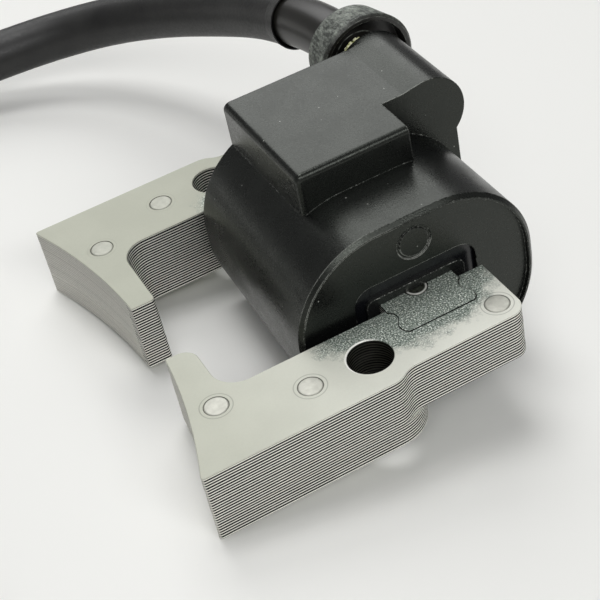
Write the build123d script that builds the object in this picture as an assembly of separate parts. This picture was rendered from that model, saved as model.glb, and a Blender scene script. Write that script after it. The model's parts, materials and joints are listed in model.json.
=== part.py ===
from build123d import *
import math
import os

os.makedirs("parts", exist_ok=True)

# Ignition coil of a small engine, lying on a flat surface. Sizes are in millimetres.
#
# The coil is drawn in its own frame: X runs along the two arms, from the pole tips (-X) to the
# bridge (+X), Y goes across from the front arm (-Y) to the rear arm (+Y), and Z is square to the
# steel sheets. X and Y are zero midway between the two mounting holes, and Z is zero under the
# sheets. At the end the coil is laid on its pole tips and on the belly of its housing.

# ------------------------------------------------------------------ steel sheets
SHEET = 0.5
LONG_SHEETS = 17
SHORT_SHEETS = 8
SHORT_STACK = SHORT_SHEETS * SHEET
STACK = SHORT_STACK + LONG_SHEETS * SHEET

# ------------------------------------------------------------------ arms
ARM_INNER = 20.0
ARM_WIDTH = 13.75
LEG_STEP = 1.45
LEG_STEP_RUN = 4.5
LEG_END = 10.45
LEG_CORNER_R = 2.5
HOLE_SPACING = 54.0
HOLE_D = 6.9

POLE_FACE_R = 98.0
POLE_FACE_X = -24.1
POLE_CORNER_R = 0.45
NUB_BACK_X = -20.2
NUB_ROOT_R = 4.3
FRONT_NUB_END = 8.7
FRONT_NUB_CORNER_R = 2.5
REAR_NUB_END = 5.0
REAR_NUB_CORNER_R = 0.6

RIVET_D = 3.64
POLE_RIVET_IN = 1.75
POLE_RIVET_ASIDE = 2.2
MIDDLE_RIVET_X = -9.7
MIDDLE_RIVET_ASIDE = 7.0
LEG_RIVET_IN = 3.0
LEG_RIVET_ASIDE = 3.5
BRIDGE_RIVET_IN = 1.8

# ------------------------------------------------------------------ bridge bar
BAR_X = 12.75
BAR_WIDTH = 12.5
JOINT_NECK_WIDTH = 10.8
JOINT_HEAD_WIDTH = 12.6
JOINT_NECK_IN = 2.0
JOINT_HEAD_IN = 4.4
JOINT_END_IN = 6.0
JOINT_HEAD_R = 2.0
JOINT_GAP = 0.05

# ------------------------------------------------------------------ housing
HOUSING_OFFSET = -0.2
HOUSING_WIDTH = 40.0
HOUSING_ABOVE = 18.25
HOUSING_BELOW = 15.55
HOUSING_TOP_R = 15.0
HOUSING_LOW_R = 16.0
HOUSING_GAP = 0.5
HOUSING_DEPTH = 36.3
LEFT_TAPER = 1.2
TAPER_AHEAD = 2.0
TAPER_BELLY_GAP = 0.35
WALL = 1.6
END_WALL = 2.0
RIM_WIDTH = 0.9
RIM_CHAMFER = 0.6
FACE_SINK = 0.8
SLOT_WIDTH = 20.7
SLOT_HEIGHT = 17.0
SLOT_R = 3.0
MARK_D = 5.7
MARK_GROOVE = 0.45
MARK_DEPTH = 0.25
MARK_ABOVE = 12.85
MARK_ASIDE = 0.7

# ------------------------------------------------------------------ electronics bay
BAY_OFFSET = -1.7
BAY_WIDTH = 18.9
BAY_DEPTH = 24.8
BAY_RISE = 5.7
BAY_SIDE_R = 1.2
BAY_FRONT_R = 1.0

# ------------------------------------------------------------------ high-tension tower
TOWER_R = 6.225
TOWER_IN = 4.4
TOWER_RISE = 0.6
TOWER_LENGTH = 18.0
TOWER_STAND_OUT = 1.2
TOWER_BORE_R = 4.4
RAMP_ANGLE = 9.5
HT_CHANNEL_R = 1.5

# ------------------------------------------------------------------ windings and bobbins
BORE_CLEARANCE = 0.15
PRIMARY_WALL_X = 1.95
PRIMARY_WALL_Z = 1.35
PRIMARY_COPPER = 1.0
PRIMARY_FLANGE_LIP = 0.3
FLANGE = 1.2
BOBBIN_SHELF = 0.2
PRIMARY_REAR_PROUD = 0.3
NEST_CLEARANCE = 0.15
SECONDARY_WALL = 0.8
SECONDARY_SIDE_GAP = 1.9
SECONDARY_LOW_GAP = 1.7
SECONDARY_COPPER_LIP = 0.3
SECONDARY_CORNER = 5.8
SECONDARY_FRONT_GAP = 1.1
SECONDARY_REAR_GAP = 2.5
SECTIONS = 5

# ------------------------------------------------------------------ resin and electronics
RESIN_SINK = 0.8
BOARD_THICKNESS = 1.2
BOARD_UNDER = 3.4
BOARD_SIDE_GAP = 0.8
BOARD_REAR_GAP = 0.8
PIN_R = 0.5
PIN_EDGE = 0.8
STRAP = 0.4
STRAP_WIDTH = 3.0
STRAP_FOOT = 1.8
TAB_WIDTH = 6.3
TAB_THICKNESS = 0.8
TAB_REACH = 7.0
HT_PIN = 1.0
HT_WIRE_R = 0.35
HT_SPIKE_R = 0.6
HT_SPIKE_REACH = 4.0
TRANSISTOR_WIDTH = 6.6
TRANSISTOR_LENGTH = 6.0
TRANSISTOR_HEIGHT = 2.3
HEAT_TAB_EDGE = 0.6
HEAT_TAB_LENGTH = 1.2
HEAT_TAB_THICKNESS = 1.0
CAPACITOR_WIDTH = 4.6
CAPACITOR_LENGTH = 6.4
CAPACITOR_HEIGHT = 2.8
RESISTOR_R = 0.95
RESISTOR_LENGTH = 5.2
RESISTOR_PITCH = 2.7
RESISTORS = 3
DIODE_R = 1.25
DIODE_LENGTH = 5.0
PART_GAP = 1.5

# ------------------------------------------------------------------ boot on the tower
PLUG_CLEARANCE = 0.05
RING_GAP = 1.3
RING_NEAR_R = 8.55
RING_FAR_R = 7.3
RING_LENGTH = 7.2
RING_EDGE = 0.5
CUP_R = 7.4
CUP_DEPTH = 3.0
SPIGOT_R = 4.47
SPIGOT_STRAIGHT = 3.5
SPIGOT_BEND_R = 81.4
SPIGOT_BEND = 14.8
SPIGOT_LEAN = 14.2
SPIGOT_IN_SLEEVE = 3.0
LEAD_R = 3.5

# ------------------------------------------------------------------ lead sleeve and plug cap
SLEEVE_R = 4.75
MOUTH_R = 5.13
MOUTH_GAP = 0.22
CAP_LENGTH = 54.0
CAP_NECK_R = 7.5
CAP_BODY_R = 9.6
CAP_RIM_R = 11.0
CAP_RIM_LENGTH = 5.0
CAP_BORE_R = 7.25
CAP_BORE_DEPTH = 32.0
CAP_NECK_LENGTH = 9.0
CAP_SHOULDER = 7.0
GRIP_RIB = 0.9
GRIP_RIB_WIDTH = 2.0
GRIP_RIBS = 3
GRIP_PITCH = 4.0
CLIP_R = 4.2
CLIP_WALL = 0.5
CLIP_LENGTH = 9.0
CLIP_SLIT = 1.0
SCREW_R = 0.9
SCREW_LENGTH = 7.0

# The sleeve's first run carries on from the spigot. Its axis then goes through these points,
# measured from the origin that the laid coil ends up with.
LEAD_FIRST_RUN = 9.0
LEAD_ROUTE = [
    (18.05, 62.16, 26.80),
    (13.05, 76.16, 21.60),
    (5.05, 87.76, 16.50),
    (-6.05, 94.56, 12.10),
    (-19.35, 96.36, 9.10),
    (-33.95, 94.56, 7.20),
    (-49.95, 88.56, 5.70),
    (-62.95, 79.00, 4.95),
    (-72.45, 65.50, 4.80),
    (-78.45, 49.00, 5.10),
    (-81.25, 31.50, 8.20),
    (-81.95, 13.10, 11.10),
    (-81.95, -0.90, 11.10),
]

# ------------------------------------------------------------------ places that follow
POLE_OUTER = ARM_INNER + ARM_WIDTH
LUG_Y = ARM_INNER + ARM_WIDTH / 2
LEG_OUTER = POLE_OUTER - LEG_STEP
LEG_LENGTH = BAR_X + LEG_END
HOLE_Y = HOLE_SPACING / 2
FLYWHEEL_X = POLE_FACE_X - POLE_FACE_R
POLE_RIVET = (POLE_FACE_X + POLE_RIVET_IN, ARM_INNER + POLE_RIVET_ASIDE)
MIDDLE_RIVET = (MIDDLE_RIVET_X, ARM_INNER + MIDDLE_RIVET_ASIDE)
LEG_RIVET = (LEG_LENGTH - LEG_RIVET_IN, LEG_OUTER - LEG_RIVET_ASIDE)
BRIDGE_RIVET_Y = ARM_INNER - BRIDGE_RIVET_IN
BAR_Z = (SHORT_STACK + STACK) / 2
BAR_HALF_Z = (STACK - SHORT_STACK) / 2

HOUSING_X = BAR_X + HOUSING_OFFSET
HOUSING_RIGHT = HOUSING_X + HOUSING_WIDTH / 2
HOUSING_TOP = BAR_Z + HOUSING_ABOVE
HOUSING_BOTTOM = BAR_Z - HOUSING_BELOW
HOUSING_SIDE_Z = (HOUSING_TOP - HOUSING_TOP_R + HOUSING_BOTTOM + HOUSING_LOW_R) / 2
HOUSING_FRONT = HOUSING_GAP - ARM_INNER
HOUSING_REAR = HOUSING_FRONT + HOUSING_DEPTH
FACE_Y = HOUSING_FRONT + FACE_SINK
CAVITY_FRONT = FACE_Y + END_WALL

BAY_X = BAR_X + BAY_OFFSET
BAY_LEFT = BAY_X - BAY_WIDTH / 2
BAY_RIGHT = BAY_X + BAY_WIDTH / 2
BAY_FRONT = HOUSING_REAR - BAY_DEPTH
BAY_TOP = HOUSING_TOP + BAY_RISE

TOWER_X = HOUSING_RIGHT - TOWER_IN
TOWER_Z = BAY_TOP + TOWER_RISE - TOWER_R
TOWER_REAR = HOUSING_REAR + TOWER_STAND_OUT
TOWER_FRONT = TOWER_REAR - TOWER_LENGTH

RESIN_REAR = HOUSING_REAR - RESIN_SINK
RESIN_FRONT = FACE_Y + RESIN_SINK

PRIMARY_BORE_X = BAR_WIDTH / 2 + BORE_CLEARANCE
PRIMARY_BORE_Z = BAR_HALF_Z + BORE_CLEARANCE
PRIMARY_TUBE_X = PRIMARY_BORE_X + PRIMARY_WALL_X
PRIMARY_TUBE_Z = PRIMARY_BORE_Z + PRIMARY_WALL_Z
PRIMARY_COPPER_X = PRIMARY_TUBE_X + PRIMARY_COPPER
PRIMARY_COPPER_Z = PRIMARY_TUBE_Z + PRIMARY_COPPER
PRIMARY_FLANGE_X = PRIMARY_COPPER_X + PRIMARY_FLANGE_LIP
PRIMARY_FLANGE_Z = PRIMARY_COPPER_Z + PRIMARY_FLANGE_LIP
PRIMARY_FRONT = FACE_Y + BOBBIN_SHELF
PRIMARY_REAR = RESIN_REAR + PRIMARY_REAR_PROUD

SECONDARY_BORE_X = PRIMARY_FLANGE_X + NEST_CLEARANCE
SECONDARY_BORE_Z = PRIMARY_FLANGE_Z + NEST_CLEARANCE
SECONDARY_TUBE_X = SECONDARY_BORE_X + SECONDARY_WALL
SECONDARY_TUBE_Z = SECONDARY_BORE_Z + SECONDARY_WALL
SECONDARY_OUT_X = HOUSING_WIDTH / 2 - abs(HOUSING_OFFSET) - LEFT_TAPER - WALL - SECONDARY_SIDE_GAP
SECONDARY_OUT_Z = HOUSING_BELOW - WALL - SECONDARY_LOW_GAP
SECONDARY_FRONT = CAVITY_FRONT + SECONDARY_FRONT_GAP
SECONDARY_REAR = RESIN_REAR - SECONDARY_REAR_GAP
SECTION_PITCH = (SECONDARY_REAR - SECONDARY_FRONT - FLANGE) / SECTIONS
HT_LEG_Y = SECONDARY_REAR - (FLANGE + SECTION_PITCH) / 2
BORE_END = HT_LEG_Y - 2 * HT_CHANNEL_R

BOARD_TOP = BAY_TOP - WALL - BOARD_UNDER
BOARD_BOTTOM = BOARD_TOP - BOARD_THICKNESS
BOARD_LEFT = BAY_LEFT + WALL + BOARD_SIDE_GAP
BOARD_RIGHT = BAY_RIGHT - WALL - BOARD_SIDE_GAP
BOARD_FRONT = BAY_FRONT + WALL + BOARD_SIDE_GAP
BOARD_REAR = RESIN_REAR - BOARD_REAR_GAP
PIN_LEFT = BOARD_LEFT + TAB_WIDTH + PIN_EDGE
PIN_RIGHT = BOARD_RIGHT - PIN_EDGE

PARTS_FRONT = BOARD_FRONT + BOARD_SIDE_GAP
RESISTORS_FRONT = PARTS_FRONT + TRANSISTOR_LENGTH + HEAT_TAB_LENGTH + PART_GAP + RESISTOR_R
DIODE_FRONT = PARTS_FRONT + CAPACITOR_LENGTH + PART_GAP

CLIP_FRONT = CAP_LENGTH - CAP_BORE_DEPTH - CLIP_LENGTH
LEAD_START = HT_LEG_Y + HT_PIN / 2 + 2 * PLUG_CLEARANCE
RING_NEAR = TOWER_REAR + RING_GAP
RING_FAR = RING_NEAR + RING_LENGTH
CUP_BOTTOM = RING_NEAR + CUP_DEPTH
BEND_START = RING_NEAR + SPIGOT_STRAIGHT

# ------------------------------------------------------------------ helpers


def box(x_range, y_range, z_range):
    """A block between two values on each axis."""
    size = [high - low for low, high in (x_range, y_range, z_range)]
    middle = [(high + low) / 2 for low, high in (x_range, y_range, z_range)]
    return Pos(*middle) * Box(*size)


def prism_y(face, front, rear):
    """A drawing in the XZ plane, given depth along Y."""
    return extrude(Plane.XZ.offset(-rear) * face, rear - front)


def rod_z(x, y, radius, low, high):
    return Pos(x, y, low) * Cylinder(radius, high - low, align=(Align.CENTER, Align.CENTER, Align.MIN))


def rod_y(x, z, radius, front, rear):
    return prism_y(Pos(x, z) * Circle(radius), front, rear)


def rod_x(y, z, radius, left, right):
    return Pos((left + right) / 2, y, z) * Rot(0, 90, 0) * Cylinder(radius, right - left)


def about_bar(half_x, half_z, corner):
    """A rounded rectangle about the bar's axis, in the XZ plane."""
    return Pos(BAR_X, BAR_Z) * RectangleRounded(2 * half_x, 2 * half_z, corner)


def octagon(half_x, half_z, corner):
    """A rectangle with its corners cut off, about the bar's axis, in the XZ plane."""
    face = Pos(BAR_X, BAR_Z) * Rectangle(2 * half_x, 2 * half_z)
    return chamfer(face.vertices(), corner)


def nearest_corner(face, x, y):
    return face.vertices().sort_by_distance((x, y, 0))[0]


def front_side(solid):
    """The same piece on the front arm's side."""
    return mirror(solid, about=Plane.XZ)


# ------------------------------------------------------------------ arms and bridge


def joint_face(gap):
    """One end of the bridge bar on the +Y side: a waist and a rounded head that lock in the arm."""
    neck_half = JOINT_NECK_WIDTH / 2
    head_half = JOINT_HEAD_WIDTH / 2
    neck_y = ARM_INNER + JOINT_NECK_IN
    head_y = ARM_INNER + JOINT_HEAD_IN
    end_y = ARM_INNER + JOINT_END_IN
    flare = head_half - neck_half
    centres = (flare**2 + (head_y - neck_y) ** 2) / (2 * flare)
    neck_r = centres - JOINT_HEAD_R
    head_x = head_half - JOINT_HEAD_R
    tangent_x = neck_half + neck_r + (head_x - neck_half - neck_r) * neck_r / centres
    tangent_y = neck_y + (head_y - neck_y) * neck_r / centres
    start_y = neck_y - math.sqrt(neck_r**2 - (neck_half + neck_r - BAR_WIDTH / 2) ** 2)
    end_x = head_x + math.sqrt(JOINT_HEAD_R**2 - (end_y - head_y) ** 2)
    side = Line((BAR_WIDTH / 2, 0), (BAR_WIDTH / 2, start_y))
    side += ThreePointArc((BAR_WIDTH / 2, start_y), (neck_half, neck_y), (tangent_x, tangent_y))
    side += ThreePointArc((tangent_x, tangent_y), (head_half, head_y), (end_x, end_y))
    outline = side + mirror(side, about=Plane.YZ)
    outline += Line((end_x, end_y), (-end_x, end_y)) + Line((BAR_WIDTH / 2, 0), (-BAR_WIDTH / 2, 0))
    face = make_face(outline)
    if gap > 0:
        face = offset(face, gap, kind=Kind.INTERSECTION)
    return Pos(BAR_X, 0) * face


def arm_face(nub_end, nub_corner, long_sheet):
    """Outline of one sheet of the rear arm, from the curved pole face to its other end."""
    beyond = POLE_FACE_X - POLE_FACE_R / 4
    outline = Line((beyond, POLE_OUTER), (0, POLE_OUTER))
    if long_sheet:
        half_run = LEG_STEP_RUN / 2
        step_middle = (half_run, POLE_OUTER - LEG_STEP / 2)
        first = TangentArc((0, POLE_OUTER), step_middle, tangent=(1, 0))
        outline += first
        outline += TangentArc(step_middle, (LEG_STEP_RUN, LEG_OUTER), tangent=first % 1)
        outline += Polyline((LEG_STEP_RUN, LEG_OUTER), (LEG_LENGTH, LEG_OUTER), (LEG_LENGTH, ARM_INNER))
        inner_start = (LEG_LENGTH, ARM_INNER)
    else:
        outline += ThreePointArc((0, POLE_OUTER), (ARM_WIDTH / 2, LUG_Y), (0, ARM_INNER))
        inner_start = (0, ARM_INNER)
    outline += Polyline(inner_start, (NUB_BACK_X, ARM_INNER), (NUB_BACK_X, nub_end))
    outline += Polyline((NUB_BACK_X, nub_end), (beyond, nub_end), (beyond, POLE_OUTER))
    face = make_face(outline) - Pos(FLYWHEEL_X, 0) * Circle(POLE_FACE_R)
    face = fillet(nearest_corner(face, NUB_BACK_X, ARM_INNER), NUB_ROOT_R)
    face = fillet(nearest_corner(face, NUB_BACK_X, nub_end), nub_corner)
    tip_x = FLYWHEEL_X + math.sqrt(POLE_FACE_R**2 - POLE_OUTER**2)
    face = fillet(nearest_corner(face, tip_x, POLE_OUTER), POLE_CORNER_R)
    if long_sheet:
        face = fillet(nearest_corner(face, LEG_LENGTH, LEG_OUTER), LEG_CORNER_R)
    holes = Pos(0, HOLE_Y) * Circle(HOLE_D / 2)
    holes += Pos(*POLE_RIVET) * Circle(RIVET_D / 2) + Pos(*MIDDLE_RIVET) * Circle(RIVET_D / 2)
    if long_sheet:
        holes += Pos(*LEG_RIVET) * Circle(RIVET_D / 2)
        holes += joint_face(JOINT_GAP)
    return face - holes


def long_sheets(nub_end, nub_corner):
    face = arm_face(nub_end, nub_corner, long_sheet=True)
    return Pos(0, 0, SHORT_STACK) * extrude(face, STACK - SHORT_STACK)


def short_sheets(nub_end, nub_corner):
    return extrude(arm_face(nub_end, nub_corner, long_sheet=False), SHORT_STACK)


def arm_rivets():
    """Two rivets through the whole stack and one through the long sheets alone."""
    return [
        rod_z(*POLE_RIVET, RIVET_D / 2, 0, STACK),
        rod_z(*MIDDLE_RIVET, RIVET_D / 2, 0, STACK),
        rod_z(*LEG_RIVET, RIVET_D / 2, SHORT_STACK, STACK),
    ]


def bridge_rivets():
    return [rod_z(BAR_X, y, RIVET_D / 2, SHORT_STACK, STACK) for y in (-BRIDGE_RIVET_Y, BRIDGE_RIVET_Y)]


def bridge_bar():
    half = extrude(joint_face(0), STACK - SHORT_STACK)
    bar = Pos(0, 0, SHORT_STACK) * (half + front_side(half))
    for rivet in bridge_rivets():
        bar -= rivet
    return bar


# ------------------------------------------------------------------ housing


def housing_face(inset, bottom=HOUSING_BOTTOM):
    """Cross-section of the housing down to a bottom, moved inwards by the inset."""
    width = HOUSING_WIDTH - 2 * inset
    height = HOUSING_TOP - bottom - 2 * inset
    face = Pos(HOUSING_X, (HOUSING_TOP + bottom) / 2) * Rectangle(width, height)
    face = fillet(face.vertices().group_by(Axis.Y)[-1], HOUSING_TOP_R - inset)
    return fillet(face.vertices().group_by(Axis.Y)[0], HOUSING_LOW_R - inset)


def body_form(inset, front, rear):
    """The housing's form inside a wall.

    Its left side comes in a little towards the rear. The belly it lies on stays straight, because
    the leaning form reaches lower.
    """
    side = housing_face(inset, HOUSING_BOTTOM - TAPER_BELLY_GAP)
    pivot = Pos(HOUSING_X - HOUSING_WIDTH / 2, HOUSING_FRONT - TAPER_AHEAD)
    lean = Rot(0, 0, -math.degrees(math.atan2(LEFT_TAPER, HOUSING_DEPTH)))
    leaning = pivot * lean * pivot.inverse() * prism_y(side, front - HOUSING_DEPTH, rear + HOUSING_DEPTH)
    return prism_y(housing_face(inset), front, rear) & leaning


def slot_face():
    return Pos(BAR_X, BAR_Z) * RectangleRounded(SLOT_WIDTH, SLOT_HEIGHT, SLOT_R)


def tower_bore():
    return rod_y(TOWER_X, TOWER_Z, TOWER_BORE_R, BORE_END, TOWER_REAR)


def cavity(slot_front, rear):
    """Everything inside the housing that the resin can fill."""
    room = body_form(WALL, CAVITY_FRONT, rear)
    inner_left = BAY_LEFT + WALL
    inner_right = BAY_RIGHT - WALL
    room += box((inner_left, inner_right), (BAY_FRONT + WALL, rear), (BAR_Z, BAY_TOP - WALL))
    room += prism_y(slot_face(), slot_front, CAVITY_FRONT)
    return room + rod_z(TOWER_X, HT_LEG_Y, HT_CHANNEL_R, BAR_Z, TOWER_Z)


def electronics_bay():
    """The box on top of the housing, over the circuit board."""
    face = Pos(BAY_X, (BAR_Z + BAY_TOP) / 2) * Rectangle(BAY_WIDTH, BAY_TOP - BAR_Z)
    face = fillet(nearest_corner(face, BAY_LEFT, BAY_TOP), BAY_SIDE_R)
    block = prism_y(face, BAY_FRONT, HOUSING_REAR)
    front_edges = block.edges().filter_by_position(Axis.Y, BAY_FRONT, BAY_FRONT)
    return fillet(front_edges.sort_by(Axis.Z)[-1], BAY_FRONT_R)


def tower_web():
    """Shoulder and web that carry the tower; the shoulder's top rises at a tangent to the tower."""
    ramp = math.radians(RAMP_ANGLE)
    touch_x = TOWER_X - TOWER_R * math.sin(ramp)
    touch_z = TOWER_Z + TOWER_R * math.cos(ramp)
    crease_x = touch_x - (touch_z - BAY_TOP) / math.tan(ramp)
    outline = Polyline(
        (BAY_X, HOUSING_SIDE_Z),
        (BAY_X, BAY_TOP),
        (crease_x, BAY_TOP),
        (touch_x, touch_z),
        (TOWER_X, TOWER_Z),
        (HOUSING_RIGHT, TOWER_Z),
        (HOUSING_RIGHT, HOUSING_SIDE_Z),
        close=True,
    )
    return prism_y(make_face(outline), TOWER_FRONT, HOUSING_REAR)


def mark_groove():
    """A plain moulded ring in the end face."""
    ring = Circle(MARK_D / 2) - Circle(MARK_D / 2 - MARK_GROOVE)
    return prism_y(Pos(BAR_X + MARK_ASIDE, BAR_Z + MARK_ABOVE) * ring, FACE_Y, FACE_Y + MARK_DEPTH)


def coil_housing():
    body = body_form(0, HOUSING_FRONT, HOUSING_REAR)
    body = chamfer(body.edges().filter_by_position(Axis.Y, HOUSING_FRONT, HOUSING_FRONT), RIM_CHAMFER)
    body -= prism_y(housing_face(RIM_WIDTH), HOUSING_FRONT, FACE_Y)
    body += electronics_bay()
    body += tower_web()
    body += rod_y(TOWER_X, TOWER_Z, TOWER_R, TOWER_FRONT, TOWER_REAR)
    body -= tower_bore()
    body -= mark_groove()
    return body - cavity(FACE_Y, HOUSING_REAR)


# ------------------------------------------------------------------ windings


def primary_bobbin():
    """A tube on the bar, with a flange at each end of its winding."""
    face = about_bar(PRIMARY_TUBE_X, PRIMARY_TUBE_Z, 2 * BORE_CLEARANCE + PRIMARY_WALL_X / 2)
    bobbin = prism_y(face, PRIMARY_FRONT, PRIMARY_REAR)
    flange = octagon(PRIMARY_FLANGE_X, PRIMARY_FLANGE_Z, PRIMARY_WALL_X)
    bobbin += prism_y(flange, SECONDARY_FRONT, SECONDARY_FRONT + FLANGE)
    bobbin += prism_y(flange, SECONDARY_REAR - FLANGE, SECONDARY_REAR)
    bore = about_bar(PRIMARY_BORE_X, PRIMARY_BORE_Z, 2 * BORE_CLEARANCE)
    return bobbin - prism_y(bore, PRIMARY_FRONT, PRIMARY_REAR)


def primary_winding():
    outer = octagon(PRIMARY_COPPER_X, PRIMARY_COPPER_Z, PRIMARY_WALL_X)
    inner = about_bar(PRIMARY_TUBE_X, PRIMARY_TUBE_Z, 2 * BORE_CLEARANCE + PRIMARY_WALL_X / 2)
    return prism_y(outer - inner, SECONDARY_FRONT + FLANGE, SECONDARY_REAR - FLANGE)


def secondary_tube_face():
    return octagon(SECONDARY_TUBE_X, SECONDARY_TUBE_Z, PRIMARY_WALL_X + SECONDARY_WALL)


def secondary_bobbin():
    """A sectioned bobbin: thin flanges keep the layers of fine wire apart."""
    bobbin = prism_y(secondary_tube_face(), SECONDARY_FRONT, SECONDARY_REAR)
    flange = octagon(SECONDARY_OUT_X, SECONDARY_OUT_Z, SECONDARY_CORNER)
    for section in range(SECTIONS + 1):
        front = SECONDARY_FRONT + section * SECTION_PITCH
        bobbin += prism_y(flange, front, front + FLANGE)
    bore = octagon(SECONDARY_BORE_X, SECONDARY_BORE_Z, PRIMARY_WALL_X)
    return bobbin - prism_y(bore, SECONDARY_FRONT, SECONDARY_REAR)


def secondary_winding():
    half_x = SECONDARY_OUT_X - SECONDARY_COPPER_LIP
    half_z = SECONDARY_OUT_Z - SECONDARY_COPPER_LIP
    face = octagon(half_x, half_z, SECONDARY_CORNER) - secondary_tube_face()
    coils = []
    for section in range(SECTIONS):
        front = SECONDARY_FRONT + section * SECTION_PITCH
        coils.append(prism_y(face, front + FLANGE, front + SECTION_PITCH))
    return coils


# ------------------------------------------------------------------ electronics


def circuit_board():
    return box((BOARD_LEFT, BOARD_RIGHT), (BOARD_FRONT, BOARD_REAR), (BOARD_BOTTOM, BOARD_TOP))


def switching_transistor():
    """A flat power transistor with a thinner heat-spreading tab."""
    left = BOARD_LEFT + BOARD_SIDE_GAP
    right = left + TRANSISTOR_WIDTH
    rear = PARTS_FRONT + TRANSISTOR_LENGTH
    body = box((left, right), (PARTS_FRONT, rear), (BOARD_TOP, BOARD_TOP + TRANSISTOR_HEIGHT))
    tab = box(
        (left + HEAT_TAB_EDGE, right - HEAT_TAB_EDGE),
        (rear, rear + HEAT_TAB_LENGTH),
        (BOARD_TOP, BOARD_TOP + HEAT_TAB_THICKNESS),
    )
    return body + tab


def capacitor():
    right = BOARD_RIGHT - BOARD_SIDE_GAP
    return box(
        (right - CAPACITOR_WIDTH, right),
        (PARTS_FRONT, PARTS_FRONT + CAPACITOR_LENGTH),
        (BOARD_TOP, BOARD_TOP + CAPACITOR_HEIGHT),
    )


def resistors():
    """Small axial resistors side by side, lying on the board."""
    left = BOARD_LEFT + BOARD_SIDE_GAP
    right = left + RESISTOR_LENGTH
    rows = [RESISTORS_FRONT + row * RESISTOR_PITCH for row in range(RESISTORS)]
    return [rod_x(y, BOARD_TOP + RESISTOR_R, RESISTOR_R, left, right) for y in rows]


def diode():
    x = BOARD_RIGHT - BOARD_SIDE_GAP - DIODE_R
    return rod_y(x, BOARD_TOP + DIODE_R, DIODE_R, DIODE_FRONT, DIODE_FRONT + DIODE_LENGTH)


def primary_pins():
    """Two wire posts from the primary bobbin up to the board."""
    y = (SECONDARY_REAR + BOARD_REAR) / 2
    low = BAR_Z + PRIMARY_TUBE_Z
    return [rod_z(x, y, PIN_R, low, BOARD_BOTTOM) for x in (PIN_LEFT, PIN_RIGHT)]


def ground_strap():
    """Earth strip: down from the board, out of the resin and on to the top of the bridge bar."""
    leg_y = SECONDARY_REAR + STRAP
    turn_z = BAR_Z + PRIMARY_TUBE_Z + STRAP
    drop_y = HOUSING_REAR + STRAP
    path = Polyline(
        (leg_y, BOARD_BOTTOM),
        (leg_y, turn_z),
        (drop_y, turn_z),
        (drop_y, STACK),
        (drop_y + STRAP_FOOT, STACK),
        (drop_y + STRAP_FOOT, STACK + STRAP),
        (drop_y + STRAP, STACK + STRAP),
        (drop_y + STRAP, turn_z + STRAP),
        (leg_y + STRAP, turn_z + STRAP),
        (leg_y + STRAP, BOARD_BOTTOM),
        close=True,
    )
    left = (PIN_LEFT + PIN_RIGHT - STRAP_WIDTH) / 2
    face = Plane.YZ.offset(left) * make_face(path)
    return extrude(face, STRAP_WIDTH)


def stop_switch_tab():
    """Flat blade for the stop-switch wire, out of the resin on the hidden side."""
    low = BOARD_BOTTOM - TAB_THICKNESS
    right = BOARD_LEFT + TAB_WIDTH
    end = HOUSING_REAR + TAB_REACH
    blade = box((BOARD_LEFT, right), (BOARD_REAR - TAB_WIDTH, end), (low, BOARD_BOTTOM))
    blade = chamfer(blade.edges().filter_by(Axis.Z).group_by(Axis.Y)[-1], TAB_WIDTH / 4)
    hole = rod_z((BOARD_LEFT + right) / 2, end - TAB_REACH / 2, TAB_WIDTH / 7, low, BOARD_BOTTOM)
    return blade - hole


def ht_spike():
    return rod_y(TOWER_X, TOWER_Z, HT_SPIKE_R, BORE_END, LEAD_START + HT_SPIKE_REACH)


def ht_terminal():
    """Pin from the last winding section up into the tower, ending in a spike for the lead."""
    stub_left = BAR_X + SECONDARY_OUT_X - SECONDARY_COPPER_LIP
    half = HT_PIN / 2
    leg = box(
        (TOWER_X - half, TOWER_X + half),
        (HT_LEG_Y - half, HT_LEG_Y + half),
        (BAR_Z - HT_PIN, TOWER_Z),
    )
    stub = rod_x(HT_LEG_Y, BAR_Z, HT_WIRE_R, stub_left, TOWER_X)
    return leg + stub + ht_spike()


def potting_resin(buried):
    """Resin round everything in the housing; the bobbins' bores stay open for the bar."""
    resin = cavity(RESIN_FRONT, RESIN_REAR) - tower_bore()
    secondary = octagon(SECONDARY_OUT_X, SECONDARY_OUT_Z, SECONDARY_CORNER)
    resin -= prism_y(secondary, SECONDARY_FRONT, SECONDARY_REAR)
    primary_tube = about_bar(PRIMARY_TUBE_X, PRIMARY_TUBE_Z, 2 * BORE_CLEARANCE + PRIMARY_WALL_X / 2)
    resin -= prism_y(primary_tube, PRIMARY_FRONT, PRIMARY_REAR)
    for piece in buried:
        resin -= piece
    return resin


# ------------------------------------------------------------------ laying the coil down


def laid():
    """Turn that lays the coil on its pole tips and on its housing's lower corner curve."""
    tip_x = FLYWHEEL_X - POLE_CORNER_R
    tip_x += math.sqrt((POLE_FACE_R + POLE_CORNER_R) ** 2 - (POLE_OUTER - POLE_CORNER_R) ** 2)
    corner_x = HOUSING_X - HOUSING_WIDTH / 2 + HOUSING_LOW_R - tip_x
    corner_z = HOUSING_BOTTOM + HOUSING_LOW_R
    reach = math.hypot(corner_x, corner_z)
    tilt = math.asin(HOUSING_LOW_R / reach) - math.atan2(corner_z, corner_x)
    return Rot(0, -math.degrees(tilt), 0) * Pos(-tip_x, 0, 0)


LAID = laid()


def on_tower_axis(y):
    """A point of the tower's axis on the laid coil."""
    return (LAID * Pos(TOWER_X, y, TOWER_Z)).position


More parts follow.
